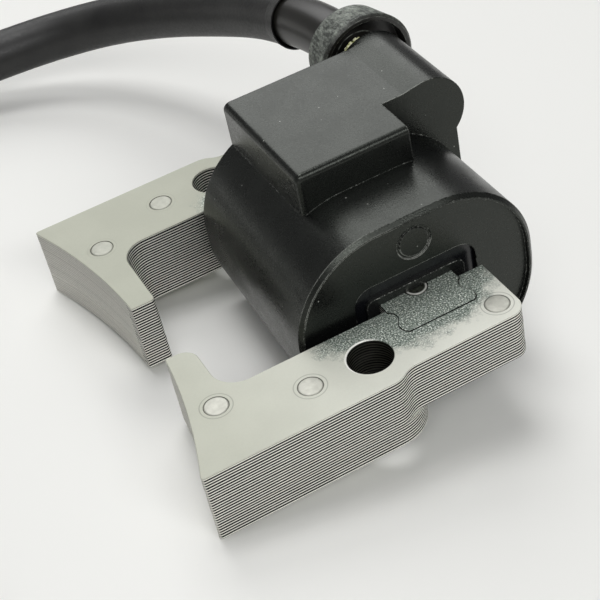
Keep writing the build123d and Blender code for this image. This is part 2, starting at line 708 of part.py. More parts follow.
def spigot_path(start_y):
    """Axis of the boot: straight along the tower, then a slow bend down, then straight again."""
    lean = math.radians(SPIGOT_LEAN)
    turn = math.radians(SPIGOT_BEND)
    down = Vector(-math.sin(lean), 0, -math.cos(lean))
    along = Vector(0, 1, 0)
    bend = on_tower_axis(BEND_START)
    bend_end = bend + along * SPIGOT_BEND_R * math.sin(turn)
    bend_end += down * SPIGOT_BEND_R * (1 - math.cos(turn))
    heading = along * math.cos(turn) + down * math.sin(turn)
    path = Line(on_tower_axis(start_y), bend) + TangentArc(bend, bend_end, tangent=along)
    path += Line(bend_end, bend_end + heading * SPIGOT_IN_SLEEVE)
    return path, bend_end, heading


def round_tube(path, start, heading, radius):
    return sweep(Plane(origin=start, z_dir=heading) * Circle(radius), path=path)


def tower_boot():
    """Rubber boot: a plug in the tower, a cupped ring behind it and a curved spigot for the sleeve."""
    start_y = LEAD_START + 4 * PLUG_CLEARANCE
    path, _, _ = spigot_path(CUP_BOTTOM)
    boot = round_tube(path, on_tower_axis(CUP_BOTTOM), Vector(0, 1, 0), SPIGOT_R)
    plug_r = TOWER_BORE_R - PLUG_CLEARANCE
    profile = Polyline(
        (0, start_y),
        (plug_r, start_y),
        (plug_r, CUP_BOTTOM),
        (CUP_R, CUP_BOTTOM),
        (CUP_R, RING_NEAR),
        (RING_NEAR_R, RING_NEAR),
        (RING_FAR_R, RING_FAR),
        (0, RING_FAR),
        close=True,
    )
    face = make_face(profile)
    for corner in ((RING_FAR_R, RING_FAR), (RING_NEAR_R, RING_NEAR)):
        face = chamfer(nearest_corner(face, *corner), RING_EDGE)
    ring = LAID * Pos(TOWER_X, 0, TOWER_Z) * revolve(face, Axis.Y)
    boot += ring
    bore, _, _ = spigot_path(start_y)
    return boot - round_tube(bore, on_tower_axis(start_y), Vector(0, 1, 0), LEAD_R)


def ht_lead_end():
    """End of the high-tension lead, in the boot and pushed over the spike."""
    path, _, _ = spigot_path(LEAD_START)
    lead = round_tube(path, on_tower_axis(LEAD_START), Vector(0, 1, 0), LEAD_R)
    return lead - LAID * ht_spike()


# ------------------------------------------------------------------ the lead and its cap


def sleeve_mouth(mouth, heading):
    """Flared end of the sleeve round the spigot, with a small gap about it."""
    plane = Plane(origin=mouth, z_dir=heading)
    flare = Cone(MOUTH_R, SLEEVE_R, SPIGOT_IN_SLEEVE, align=(Align.CENTER, Align.CENTER, Align.MIN))
    gap = Cone(
        MOUTH_R - MOUTH_GAP,
        SPIGOT_R,
        SPIGOT_IN_SLEEVE,
        align=(Align.CENTER, Align.CENTER, Align.MIN),
    )
    return plane * (flare - gap)


def lead_sleeve(points):
    """The sleeve over the lead, from the end of the spigot to the cap."""
    radii = []
    for before, here, after in zip(points, points[1:], points[2:]):
        runs = (here - before, after - here)
        half_turn = math.radians(runs[0].get_angle(runs[1])) / 2
        radii.append(0.45 * min(run.length for run in runs) / math.tan(half_turn))
    path = FilletPolyline(*points, radius=radii)
    tube = round_tube(path, points[0], points[1] - points[0], SLEEVE_R)
    print("lead radii", [round(radius, 1) for radius in radii])
    volume_ratio = tube.volume / (path.length * math.pi * SLEEVE_R**2)
    print("lead length", round(path.length, 1), "volume ratio", round(volume_ratio, 4))
    return tube


def cap_profile():
    """Half section of the rubber cap: (radius, distance from the lead's end)."""
    outer = Polyline(
        (0, 0),
        (CAP_NECK_R, 0),
        (CAP_NECK_R, CAP_NECK_LENGTH),
        (CAP_BODY_R, CAP_NECK_LENGTH + CAP_SHOULDER),
        (CAP_BODY_R, CAP_LENGTH - CAP_RIM_LENGTH - (CAP_RIM_R - CAP_BODY_R)),
        (CAP_RIM_R, CAP_LENGTH - CAP_RIM_LENGTH),
        (CAP_RIM_R, CAP_LENGTH),
        (0, CAP_LENGTH),
        close=True,
    )
    face = make_face(outer)
    for rib in range(GRIP_RIBS):
        y = CAP_NECK_LENGTH + CAP_SHOULDER + (rib + 1) * GRIP_PITCH
        face += make_face(Polyline(
            (CAP_BODY_R - GRIP_RIB, y - GRIP_RIB_WIDTH / 2),
            (CAP_BODY_R, y - GRIP_RIB_WIDTH / 2),
            (CAP_BODY_R + GRIP_RIB, y - GRIP_RIB_WIDTH / 4),
            (CAP_BODY_R + GRIP_RIB, y + GRIP_RIB_WIDTH / 4),
            (CAP_BODY_R, y + GRIP_RIB_WIDTH / 2),
            (CAP_BODY_R - GRIP_RIB, y + GRIP_RIB_WIDTH / 2),
            close=True,
        ))
    return face


def plug_cap():
    """Straight rubber cap, open at the end that goes over the spark plug."""
    cap = revolve(cap_profile(), Axis.Y)
    cap -= rod_y(0, 0, CAP_BORE_R, CAP_LENGTH - CAP_BORE_DEPTH, CAP_LENGTH)
    cap -= rod_y(0, 0, CLIP_R, CLIP_FRONT, CAP_LENGTH - CAP_BORE_DEPTH)
    return cap - rod_y(0, 0, LEAD_R, 0, CLIP_FRONT)


def cap_screw():
    """Screw on the back of the clip, driven into the lead's end."""
    return rod_y(0, 0, SCREW_R, CLIP_FRONT - SCREW_LENGTH, CLIP_FRONT)


def cap_lead_end():
    """The lead's bare end in the cap's neck."""
    return rod_y(0, 0, LEAD_R, 0, CLIP_FRONT) - cap_screw()


def cap_clip():
    """Slit brass cup that snaps over the plug's terminal."""
    mouth_y = CLIP_FRONT + CLIP_LENGTH
    cup = rod_y(0, 0, CLIP_R, CLIP_FRONT, mouth_y)
    cup -= rod_y(0, 0, CLIP_R - CLIP_WALL, CLIP_FRONT + CLIP_WALL, mouth_y)
    slit_front = CLIP_FRONT + CLIP_LENGTH / 3
    slit = box((-CLIP_R, CLIP_R), (slit_front, mouth_y), (-CLIP_SLIT / 2, CLIP_SLIT / 2))
    return cup - slit - Rot(0, 90, 0) * slit


# ------------------------------------------------------------------ assembly

arm = {
    "front_arm_long_sheets": front_side(long_sheets(FRONT_NUB_END, FRONT_NUB_CORNER_R)),
    "front_arm_short_sheets": front_side(short_sheets(FRONT_NUB_END, FRONT_NUB_CORNER_R)),
    "rear_arm_long_sheets": long_sheets(REAR_NUB_END, REAR_NUB_CORNER_R),
    "rear_arm_short_sheets": short_sheets(REAR_NUB_END, REAR_NUB_CORNER_R),
    "front_arm_rivets": [front_side(rivet) for rivet in arm_rivets()],
    "rear_arm_rivets": arm_rivets(),
    "bridge_bar": bridge_bar(),
    "bridge_rivets": bridge_rivets(),
}
electronics = {
    "circuit_board": circuit_board(),
    "switching_transistor": switching_transistor(),
    "capacitor": capacitor(),
    "resistors": resistors(),
    "diode": diode(),
    "primary_pins": primary_pins(),
    "ground_strap": ground_strap(),
    "stop_switch_tab": stop_switch_tab(),
    "ht_terminal": ht_terminal(),
}
windings = {
    "primary_bobbin": primary_bobbin(),
    "primary_winding": primary_winding(),
    "secondary_bobbin": secondary_bobbin(),
    "secondary_winding": secondary_winding(),
}


def solids_of(piece):
    """The solids of one piece, or of a list of them."""
    shapes = piece if isinstance(piece, list) else [piece]
    return [solid for shape in shapes for solid in shape.solids()]


def moved(place, pieces):
    return {node: [place * solid for solid in solids_of(piece)] for node, piece in pieces.items()}


buried = [solid for piece in electronics.values() for solid in solids_of(piece)]
buried += solids_of(windings["secondary_bobbin"]) + solids_of(windings["secondary_winding"])

coil = moved(LAID, {**arm, **windings, **electronics})
coil.update(moved(LAID, {"coil_housing": coil_housing(), "potting_resin": potting_resin(buried)}))
coil["tower_boot"] = solids_of(tower_boot())
coil["ht_lead_end"] = solids_of(ht_lead_end())

# The origin is the middle of the coil's footprint, on the surface that it lies on.
bounds = Compound([solid for solids in coil.values() for solid in solids]).bounding_box()
ORIGIN = Pos(-bounds.center().X, -bounds.center().Y, -bounds.min.Z)
coil = moved(ORIGIN, coil)

_, mouth, mouth_heading = spigot_path(RING_NEAR)
mouth = mouth + ORIGIN.position
sleeve_start = mouth + mouth_heading * SPIGOT_IN_SLEEVE
route = [sleeve_start, sleeve_start + mouth_heading * LEAD_FIRST_RUN]
route += [Vector(*point) for point in LEAD_ROUTE]
CAP = Pos(route[-1]) * Rot(0, 0, 180)
lead = {
    "lead_sleeve_mouth": solids_of(sleeve_mouth(mouth, mouth_heading)),
    "lead_sleeve": solids_of(lead_sleeve(route)),
}
cap = {
    "plug_cap": plug_cap(),
    "plug_cap_lead_end": cap_lead_end(),
    "plug_cap_screw": cap_screw(),
    "plug_cap_clip": cap_clip(),
}

for node, solids in {**coil, **lead, **moved(CAP, cap)}.items():
    shape = solids[0] if len(solids) == 1 else Compound(solids)
    export_step(shape, f"parts/{node}.step")
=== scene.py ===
"""Ignition coil of a small engine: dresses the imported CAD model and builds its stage."""

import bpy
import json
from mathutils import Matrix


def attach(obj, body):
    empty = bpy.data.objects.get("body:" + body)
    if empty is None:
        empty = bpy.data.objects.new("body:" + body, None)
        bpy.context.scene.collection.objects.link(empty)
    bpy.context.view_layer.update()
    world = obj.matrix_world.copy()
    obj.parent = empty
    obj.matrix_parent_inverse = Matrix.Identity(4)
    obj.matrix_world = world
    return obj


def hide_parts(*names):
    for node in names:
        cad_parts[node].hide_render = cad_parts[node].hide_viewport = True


bl_info = {
    "name": "Ignition Coil",
    "version": (1, 0, 0),
    "blender": (4, 5, 0),
    "location": "3D View > Sidebar > Coil",
    "description": "Sheet stacks, rivets, moulded finishes, lead and cap of a small engine's ignition coil",
    "category": "Add Mesh",
}

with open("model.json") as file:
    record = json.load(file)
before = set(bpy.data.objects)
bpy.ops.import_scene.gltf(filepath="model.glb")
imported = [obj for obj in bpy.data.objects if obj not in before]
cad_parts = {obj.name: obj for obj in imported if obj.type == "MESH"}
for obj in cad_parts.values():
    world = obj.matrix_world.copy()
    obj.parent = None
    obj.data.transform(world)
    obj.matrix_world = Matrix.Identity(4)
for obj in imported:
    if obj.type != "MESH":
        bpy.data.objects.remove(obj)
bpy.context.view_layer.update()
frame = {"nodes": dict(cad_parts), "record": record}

import json
import math
import random

import bmesh
import bpy
from mathutils import Matrix, Vector

MM = 0.001
MOUNTS = {mount["name"]: mount for mount in frame["record"]["mounts"]}


def core_frame():
    """Matrix from the coil's own frame, square to its sheets, to the frame in which it lies."""
    front = MOUNTS["mounting_hole_front"]
    rear = MOUNTS["mounting_hole_rear"]
    up = Vector(front["axis"]).normalized()
    across = Vector((0, 1, 0))
    along = across.cross(up)
    half_stack = front["dims"]["length_mm"] / 2 * MM
    origin = (Vector(front["pos_m"]) + Vector(rear["pos_m"])) / 2 - up * half_stack
    turn = Matrix((along, across, up)).transposed()
    return Matrix.Translation(origin) @ turn.to_4x4()


CORE = core_frame()
SQUARE = CORE.inverted()


def square_places(node):
    """Where the vertices of a CAD node are, square to the sheets."""
    return [SQUARE @ vert.co for vert in frame["nodes"][node].data.vertices]


STACK = MOUNTS["mounting_hole_front"]["dims"]["length_mm"] * MM
HOLE_R = MOUNTS["mounting_hole_front"]["dims"]["r_mm"] * MM
HOLE_Y = (SQUARE @ Vector(MOUNTS["mounting_hole_rear"]["pos_m"])).y
# The pole faces are curved, and lie before this place along the arms.
POLE_END = (SQUARE @ Vector(MOUNTS["front_pole_face"]["pos_m"])).x + 1.5 * MM

# The electronics bay is all of the housing that is above BAY_ABOVE and left of BAY_LEFT_OF. Its
# corner is the left front one of its top.
BAY_ABOVE = 31 * MM
BAY_LEFT_OF = 15 * MM
HOUSING = square_places("coil_housing")
HOUSING_FRONT = min(place.y for place in HOUSING)
BAY = [place for place in HOUSING if place.z > BAY_ABOVE and place.x < BAY_LEFT_OF]
BAY_CORNER = Vector((
    min(place.x for place in BAY), min(place.y for place in BAY), max(place.z for place in BAY),
))

# Middle of the front of the high-tension tower, and the boot's ring round the tower: where it
# starts and ends, how much of its radius it loses with each step along it, and its outer radius.
TOWER = Vector((28.15 * MM, 0, 26.575 * MM))
RING_NEAR = 19.3 * MM
RING_FAR = 26.5 * MM
RING_TAPER = 0.17
RING_R = max(
    math.hypot(place.x - TOWER.x, place.z - TOWER.z)
    for place in square_places("tower_boot") if RING_NEAR < place.y < RING_FAR
)

# Where the housing's rubbed edges are made paler as painted highlights, each as a middle and half sizes:
# the front of the bay's top, the bay's corner, the tower's front, the left of the rim, and the slot in the
# end face.
HIGHLIGHT_SPOTS = [
    (BAY_CORNER + Vector((9 * MM, 0, 0)), (14 * MM, 1.2 * MM, 1.2 * MM)),
    (BAY_CORNER, (1.6 * MM, 1.6 * MM, 3 * MM)),
    (TOWER + Vector((-3.5 * MM, 0, 5 * MM)), (5 * MM, 1.2 * MM, 3 * MM)),
    (Vector((1 * MM, HOUSING_FRONT, 23 * MM)), (11 * MM, 1.5 * MM, 8 * MM)),
    (Vector((9 * MM, HOUSING_FRONT, 18 * MM)), (20 * MM, 3 * MM, 3.5 * MM)),
]

# Varnish that crept out of the coil: the middle of its oval on an arm, and the oval's half sizes.
SMEAR_MIDDLE = (9.5 * MM, 19 * MM, 0)
SMEAR_REACH = (15 * MM, 10.5 * MM, 1)
# Where the painted shade on the front arm begins, and where it is strongest.
PAINTED_SHADE_START = 10 * MM
PAINTED_SHADE_END = -24 * MM
# The side of the front hole whose burr gets a painted highlight, as a direction across the sheet.
BURR_HIGHLIGHT_SIDE = (-0.64, 0.77, 0)

# ------------------------------------------------------------------ settings


class StageSettings(bpy.types.PropertyGroup):
    """Camera, lamps and floor."""

    azimuth: bpy.props.FloatProperty(
        name="Azimuth", description="Where the camera stands round the coil", subtype="ANGLE",
        default=math.radians(27.06),
    )
    elevation: bpy.props.FloatProperty(
        name="Elevation", description="How far the camera looks down", subtype="ANGLE",
        default=math.radians(35.91),
    )
    distance: bpy.props.FloatProperty(
        name="Distance", description="From the camera to the point it aims at", subtype="DISTANCE",
        default=231.27 * MM,
    )
    aim: bpy.props.FloatVectorProperty(
        name="Aim", description="Point in the middle of the view", subtype="XYZ",
        default=(-2.705 * MM, -13.464 * MM, 15.0 * MM),
    )
    lens: bpy.props.FloatProperty(name="Lens", description="Focal length in millimetres", default=91.07)
    window_power: bpy.props.FloatProperty(
        name="Window light", description="Power of the soft lamp behind the coil, in watts", default=4.7,
    )
    key_power: bpy.props.FloatProperty(
        name="Key light", description="Power of the lamp overhead, in watts", default=4.2,
    )
    fill_power: bpy.props.FloatProperty(
        name="Fill light", description="Power of the soft lamp on the near side, in watts", default=3.8,
    )
    sky: bpy.props.FloatProperty(
        name="Sky", description="Strength of the even light all round", default=0.2,
    )
    floor_colour: bpy.props.StringProperty(
        name="Floor", description="Pale floor, sRGB hex", default="#EEEEEB",
    )


class SheetSettings(bpy.types.PropertyGroup):
    """Stacked steel sheets."""

    thickness: bpy.props.FloatProperty(
        name="Sheet", description="Thickness of one steel sheet", subtype="DISTANCE", default=0.5 * MM,
    )
    groove: bpy.props.FloatProperty(
        name="Groove", description="Width of the line between two sheets", subtype="DISTANCE",
        default=0.2 * MM,
    )
    groove_depth: bpy.props.FloatProperty(
        name="Groove depth", description="Depth of the line between two sheets", subtype="DISTANCE",
        default=0.25 * MM,
    )
    stagger: bpy.props.FloatProperty(
        name="Stagger", description="How far sheets stand out unevenly", subtype="DISTANCE",
        default=0.02 * MM,
    )
    joint: bpy.props.FloatProperty(
        name="Joint", description="Rounding along the outline, which shows where bar and arm lock",
        subtype="DISTANCE", default=0.1 * MM,
    )
    seed: bpy.props.IntProperty(name="Seed", description="Choice of the uneven places", default=7)


class RivetSettings(bpy.types.PropertyGroup):
    """Ends of the rivets that hold the sheets."""

    proud: bpy.props.FloatProperty(
        name="Proud", description="How far a rivet stands out of the sheets", subtype="DISTANCE",
        default=0.06 * MM,
    )
    rim: bpy.props.FloatProperty(
        name="Rim", description="Width of the rounded rim", subtype="DISTANCE", default=0.22 * MM,
    )
    coined_ring: bpy.props.FloatProperty(
        name="Coined ring", description="Radius of the pressed ring round a rivet", subtype="DISTANCE",
        default=2.45 * MM,
    )


class LeadSettings(bpy.types.PropertyGroup):
    """Sleeve over the high-tension lead."""

    radius: bpy.props.FloatProperty(
        name="Radius", description="Outer radius of the sleeve", subtype="DISTANCE", default=4.75 * MM,
    )
    length: bpy.props.FloatProperty(
        name="Length", description="Length of the sleeve from the boot to the cap", subtype="DISTANCE",
        default=214.0 * MM,
    )


# ------------------------------------------------------------------ colours and nodes


def linear(hex_colour):
    """An sRGB hex colour as linear red, green, blue and alpha."""
    channels = [int(hex_colour[i:i + 2], 16) / 255 for i in (1, 3, 5)]
    return tuple(c / 12.92 if c <= 0.04045 else ((c + 0.055) / 1.055) ** 2.4 for c in channels) + (1.0,)


def add(tree, kind, settings=None, links=None):
    """Adds one node with its settings, socket values, colour stops and links."""
    item = tree.nodes.new(kind)
    for name, value in (settings or {}).items():
        if name == "stops":
            elements = item.color_ramp.elements
            while len(elements) < len(value):
                elements.new(0.5)
            for element, (position, colour) in zip(elements, value):
                element.position = position
                element.color = linear(colour)
        elif isinstance(name, int) or name in item.inputs:
            item.inputs[name].default_value = value
        else:
            setattr(item, name, value)
    for name, output in (links or {}).items():
        tree.links.new(output, item.inputs[name])
    return item


def new_material(name, roughness=0.5, metallic=0.0, colour="#808080"):
    """A material with one Principled shader, and its node tree and shader."""
    material = bpy.data.materials.new(name)
    material.use_nodes = True
    tree = material.node_tree
    shader = tree.nodes["Principled BSDF"]
    shader.inputs["Base Color"].default_value = linear(colour)
    shader.inputs["Roughness"].default_value = roughness
    shader.inputs["Metallic"].default_value = metallic
    return material, tree, shader


def core_place(tree):
    """The place on the coil, in metres along, across and square to its sheets."""
    place = add(tree, "ShaderNodeTexCoord").outputs["Object"]
    settings = {"Location": SQUARE.translation, "Rotation": SQUARE.to_euler()}
    return add(tree, "ShaderNodeMapping", settings, {"Vector": place}).outputs["Vector"]


def band(tree, distance, radius, width):
    """A soft ring: one at the radius, falling to nothing half its width away."""
    off = add(tree, "ShaderNodeMath", {"operation": "SUBTRACT", 1: radius}, {0: distance}).outputs["Value"]
    away = add(tree, "ShaderNodeMath", {"operation": "ABSOLUTE"}, {0: off}).outputs["Value"]
    return add(
        tree, "ShaderNodeMapRange", {"From Min": width / 2, "From Max": width / 6}, {"Value": away},
    ).outputs["Result"]


def worn_and_highlit_edges(tree, radius, low, high, size, highlight_spots=()):
    """Where sharp edges are pale, partly with wear and partly as painted highlights: a normal rounded over
    the edges, and how pale each spot is.

    Scuffs of the given size start to show at low and are full at high. In the highlight spots, each given
    as its middle and half sizes, they are stronger, as painted highlights.
    """
    rounded = add(tree, "ShaderNodeBevel", {"samples": 6, "Radius": radius}).outputs["Normal"]
    flat = add(tree, "ShaderNodeNewGeometry").outputs["Normal"]
    turn = add(
        tree, "ShaderNodeVectorMath", {"operation": "DOT_PRODUCT"}, {0: rounded, 1: flat},
    ).outputs["Value"]
    near_edge = add(
        tree, "ShaderNodeMapRange", {"From Min": 0.985, "From Max": 0.86}, {"Value": turn},
    ).outputs["Result"]
    place = add(tree, "ShaderNodeTexCoord").outputs["Object"]
    scuffs = add(
        tree, "ShaderNodeTexNoise", {"Scale": 1 / size, "Detail": 4.0, "Roughness": 0.65},
        {"Vector": place},
    ).outputs["Fac"]
    if highlight_spots:
        core = core_place(tree)
    for middle, half in highlight_spots:
        away = add(
            tree, "ShaderNodeVectorMath", {"operation": "SUBTRACT", 1: middle}, {0: core},
        ).outputs["Vector"]
        share = add(
            tree, "ShaderNodeVectorMath", {"operation": "DIVIDE", 1: half}, {0: away},
        ).outputs["Vector"]
        reach = add(tree, "ShaderNodeVectorMath", {"operation": "LENGTH"}, {0: share}).outputs["Value"]
        extra = add(
            tree, "ShaderNodeMapRange", {"From Min": 1.1, "From Max": 0.7, "To Max": 0.22},
            {"Value": reach},
        ).outputs["Result"]
        scuffs = add(tree, "ShaderNodeMath", {"operation": "ADD"}, {0: scuffs, 1: extra}).outputs["Value"]
    highlight_and_wear = add(
        tree, "ShaderNodeMapRange", {"From Min": low, "From Max": high}, {"Value": scuffs},
    ).outputs["Result"]
    amount = add(
        tree, "ShaderNodeMath", {"operation": "MULTIPLY"}, {0: near_edge, 1: highlight_and_wear},
    ).outputs["Value"]
    return rounded, amount


# ------------------------------------------------------------------ materials


def rolled_steel(name, smeared=False):
    """Silicon steel sheet, cold rolled, with varnish that crept out of the coil.

    The clean sheet is a warm grey with a satin gleam, and painted shade darkens all of the rear arm and the
    front arm towards its pole end. Next to the housing the varnish has dried to a dull grey-green mottle,
    which covers all of a smeared sheet. Each rivet has a dark line round it and a pressed ring, and one
    side of the front hole's burr has a painted highlight.
    """
    material, tree, shader = new_material(name, roughness=0.62, metallic=0.2)
    place = core_place(tree)
    split = add(tree, "ShaderNodeSeparateXYZ", links={0: place})
    side = add(tree, "ShaderNodeMath", {"operation": "ABSOLUTE"}, {0: split.outputs["Y"]}).outputs["Value"]
    folded = add(tree, "ShaderNodeCombineXYZ", links={"X": split.outputs["X"], "Y": side}).outputs["Vector"]

    # Rolled grain about 0.3 mm across, handling clouds of 8 mm, and painted shade that darkens all of the
    # rear arm and the front arm towards its pole end.
    grain = add(tree, "ShaderNodeTexNoise", {"Scale": 1 / (0.3 * MM), "Detail": 2.0}, {"Vector": place})
    clouds = add(tree, "ShaderNodeTexNoise", {"Scale": 1 / (8 * MM), "Detail": 3.0}, {"Vector": place})
    tone = add(
        tree, "ShaderNodeMix", {"data_type": "FLOAT", 0: 0.3},
        {2: clouds.outputs["Fac"], 3: grain.outputs["Fac"]},
    ).outputs[0]
    clean = add(
        tree, "ShaderNodeValToRGB", {"stops": [(0.35, "#DEDFD5"), (0.65, "#E5E6DC")]}, {"Fac": tone},
    ).outputs["Color"]
    # Painted shade: the share of the darker tone, rising towards the pole end and full on the rear arm.
    painted_shade = add(
        tree, "ShaderNodeMapRange", {"From Min": PAINTED_SHADE_START, "From Max": PAINTED_SHADE_END, "To Max": 0.85},
        {"Value": split.outputs["X"]},
    ).outputs["Result"]
    rear_arm = add(
        tree, "ShaderNodeMath", {"operation": "GREATER_THAN", 1: 0.0}, {0: split.outputs["Y"]},
    ).outputs["Value"]
    painted_shade = add(tree, "ShaderNodeMath", {"operation": "MAXIMUM"}, {0: painted_shade, 1: rear_arm}).outputs["Value"]
    clean = add(
        tree, "ShaderNodeMix", {"data_type": "RGBA", "blend_type": "MULTIPLY", 7: linear("#CBCCC5")},
        {0: painted_shade, 6: clean},
    ).outputs[2]

    # Varnish mottle of 0.24 mm specks.
    specks = add(
        tree, "ShaderNodeTexNoise", {"Scale": 1 / (0.24 * MM), "Detail": 2.0, "Roughness": 0.6},
        {"Vector": place},
    ).outputs["Fac"]
    mottle = add(
        tree, "ShaderNodeValToRGB",
        {"stops": [(0.35, "#3F4840"), (0.47, "#7C877E"), (0.56, "#9CA69D"), (0.65, "#FAFFF6")]},
        {"Fac": specks},
    ).outputs["Color"]

    # The smear is an uneven oval over the bridge's end, folded onto both arms.
    from_middle = add(
        tree, "ShaderNodeVectorMath", {"operation": "SUBTRACT", 1: SMEAR_MIDDLE}, {0: folded},
    ).outputs["Vector"]
    scaled = add(
        tree, "ShaderNodeVectorMath", {"operation": "DIVIDE", 1: SMEAR_REACH}, {0: from_middle},
    ).outputs["Vector"]
    reach = add(tree, "ShaderNodeVectorMath", {"operation": "LENGTH"}, {0: scaled}).outputs["Value"]
    ragged = add(
        tree, "ShaderNodeTexNoise", {"Scale": 1 / (3 * MM), "Detail": 5.0, "Roughness": 0.7},
        {"Vector": place},
    ).outputs["Fac"]
    border = add(
        tree, "ShaderNodeMath", {"operation": "MULTIPLY_ADD", 1: 0.7, 2: -0.35}, {0: ragged},
    ).outputs["Value"]
    uneven = add(tree, "ShaderNodeMath", {"operation": "ADD"}, {0: reach, 1: border}).outputs["Value"]
    outer, inner = (2.0, 1.9) if smeared else (1.08, 0.88)
    smear = add(
        tree, "ShaderNodeMapRange", {"From Min": outer, "From Max": inner}, {"Value": uneven},
    ).outputs["Result"]
    colour = add(
        tree, "ShaderNodeMix", {"data_type": "RGBA"}, {0: smear, 6: clean, 7: mottle},
    ).outputs[2]

    # Line round each rivet, pressed ring, and a painted highlight on one side of the burr round the
    # mounting hole.
    settings = bpy.context.scene.coil_rivets
    nearest = None
    for middle in (place for places in RIVETS.values() for place in places):
        gap = add(
            tree, "ShaderNodeVectorMath", {"operation": "DISTANCE", 1: (middle.x, abs(middle.y), 0)},
            {0: folded},
        ).outputs["Value"]
        if nearest:
            gap = add(
                tree, "ShaderNodeMath", {"operation": "MINIMUM"}, {0: nearest, 1: gap},
            ).outputs["Value"]
        nearest = gap
    rivet_line = band(tree, nearest, RIVET_R + 0.05 * MM, 0.2 * MM)
    pressed = band(tree, nearest, settings.coined_ring, 0.22 * MM)
    from_hole = add(
        tree, "ShaderNodeVectorMath", {"operation": "ADD", 1: (0, HOLE_Y, 0)}, {0: place},
    ).outputs["Vector"]
    flat = add(
        tree, "ShaderNodeVectorMath", {"operation": "MULTIPLY", 1: (1, 1, 0)}, {0: from_hole},
    ).outputs["Vector"]
    to_hole = add(tree, "ShaderNodeVectorMath", {"operation": "LENGTH"}, {0: flat}).outputs["Value"]
    towards = add(
        tree, "ShaderNodeVectorMath", {"operation": "DOT_PRODUCT", 1: BURR_HIGHLIGHT_SIDE}, {0: from_hole},
    ).outputs["Value"]
    one_side = add(
        tree, "ShaderNodeMapRange", {"From Min": -0.1 * HOLE_R, "From Max": 0.7 * HOLE_R},
        {"Value": towards},
    ).outputs["Result"]
    rim = band(tree, to_hole, HOLE_R + 0.1 * MM, 0.45 * MM)
    burr_highlight = add(tree, "ShaderNodeMath", {"operation": "MULTIPLY"}, {0: rim, 1: one_side}).outputs["Value"]
    # The rings are pressed less deep on the rear arm.
    depth = add(
        tree, "ShaderNodeMath", {"operation": "MULTIPLY_ADD", 1: -0.27, 2: 0.35}, {0: rear_arm},
    ).outputs["Value"]
    faint_line = add(
        tree, "ShaderNodeMath", {"operation": "MULTIPLY"}, {0: pressed, 1: depth},
    ).outputs["Value"]
    fine_line = add(
        tree, "ShaderNodeMath", {"operation": "MULTIPLY", 1: 0.8}, {0: rivet_line},
    ).outputs["Value"]
    lines = add(
        tree, "ShaderNodeMath", {"operation": "MAXIMUM"}, {0: fine_line, 1: faint_line},
    ).outputs["Value"]
    colour = add(
        tree, "ShaderNodeMix", {"data_type": "RGBA", 7: linear("#3A3A33")}, {0: lines, 6: colour},
    ).outputs[2]
    # Painted highlight on the lit side of the burr.
    colour = add(
        tree, "ShaderNodeMix", {"data_type": "RGBA", 7: linear("#FFFFF8")}, {0: burr_highlight, 6: colour},
    ).outputs[2]
    tree.links.new(colour, shader.inputs["Base Color"])
    dull = add(
        tree, "ShaderNodeMapRange", {"To Min": 0.62, "To Max": 0.5}, {"Value": smear},
    ).outputs["Result"]
    tree.links.new(dull, shader.inputs["Roughness"])

    relief = add(
        tree, "ShaderNodeMath", {"operation": "MULTIPLY_ADD", 1: -1.0}, {0: lines, 2: tone},
    ).outputs["Value"]
    normal = add(
        tree, "ShaderNodeBump", {"Strength": 0.5, "Distance": 0.05 * MM}, {"Height": relief},
    ).outputs["Normal"]
    tree.links.new(normal, shader.inputs["Normal"])
    return material


def stacked_edges(name, dark, bright, line, softness, mottle, wear_size=1.5 * MM):
    """Punched edges of the stacked steel sheets.

    Each sheet shows a bright burnished band, and the break and the joint below it are dark; on the punched
    edges these are made strong as a painted highlight on each sheet and painted shade in each groove. The
    line is the dark share of a sheet's thickness, and softness is how far it blurs. The mottle is how much
    wear in spots of the given size darkens it.
    """
    material, tree, shader = new_material(name, roughness=0.5, metallic=0.3)
    shader.inputs["Specular IOR Level"].default_value = 0.1
    place = core_place(tree)
    height = add(tree, "ShaderNodeSeparateXYZ", links={0: place}).outputs["Z"]
    thickness = bpy.context.scene.coil_sheets.thickness
    turns = add(tree, "ShaderNodeMath", {"operation": "DIVIDE", 1: thickness}, {0: height}).outputs["Value"]
    phase = add(tree, "ShaderNodeMath", {"operation": "FRACT"}, {0: turns}).outputs["Value"]
    half = line / 2
    stops = [
        (half - softness, dark), (half + softness, bright),
        (1 - half - softness, bright), (1 - half + softness, dark),
    ]
    sheets = add(tree, "ShaderNodeValToRGB", {"stops": stops}, {"Fac": phase}).outputs["Color"]

    # Each sheet has its own shade, and wear speckles it.
    number = add(tree, "ShaderNodeMath", {"operation": "FLOOR"}, {0: turns}).outputs["Value"]
    each = add(
        tree, "ShaderNodeTexWhiteNoise", {"noise_dimensions": "1D"}, {"W": number},
    ).outputs["Value"]
    wear = add(
        tree, "ShaderNodeTexNoise", {"Scale": 1 / wear_size, "Detail": 3.0, "Roughness": 0.65},
        {"Vector": place},
    ).outputs["Fac"]
    uneven = add(tree, "ShaderNodeMix", {"data_type": "FLOAT", 0: 0.85}, {2: each, 3: wear}).outputs[0]
    shade = add(
        tree, "ShaderNodeMapRange", {"From Min": 0.2, "From Max": 0.8, "To Min": 1 - mottle},
        {"Value": uneven},
    ).outputs["Result"]
    grey = add(tree, "ShaderNodeCombineColor", links={0: shade, 1: shade, 2: shade}).outputs["Color"]
    colour = add(
        tree, "ShaderNodeMix", {"data_type": "RGBA", "blend_type": "MULTIPLY", 0: 1.0},
        {6: sheets, 7: grey},
    ).outputs[2]
    tree.links.new(colour, shader.inputs["Base Color"])
    return material


def punched_edge(name):
    """Edges as punched: strong light and dark lines, a painted highlight and painted shade on each sheet.
    """
    return stacked_edges(name, "#030303", "#FFFFF6", line=0.58, softness=0.02, mottle=0.15)


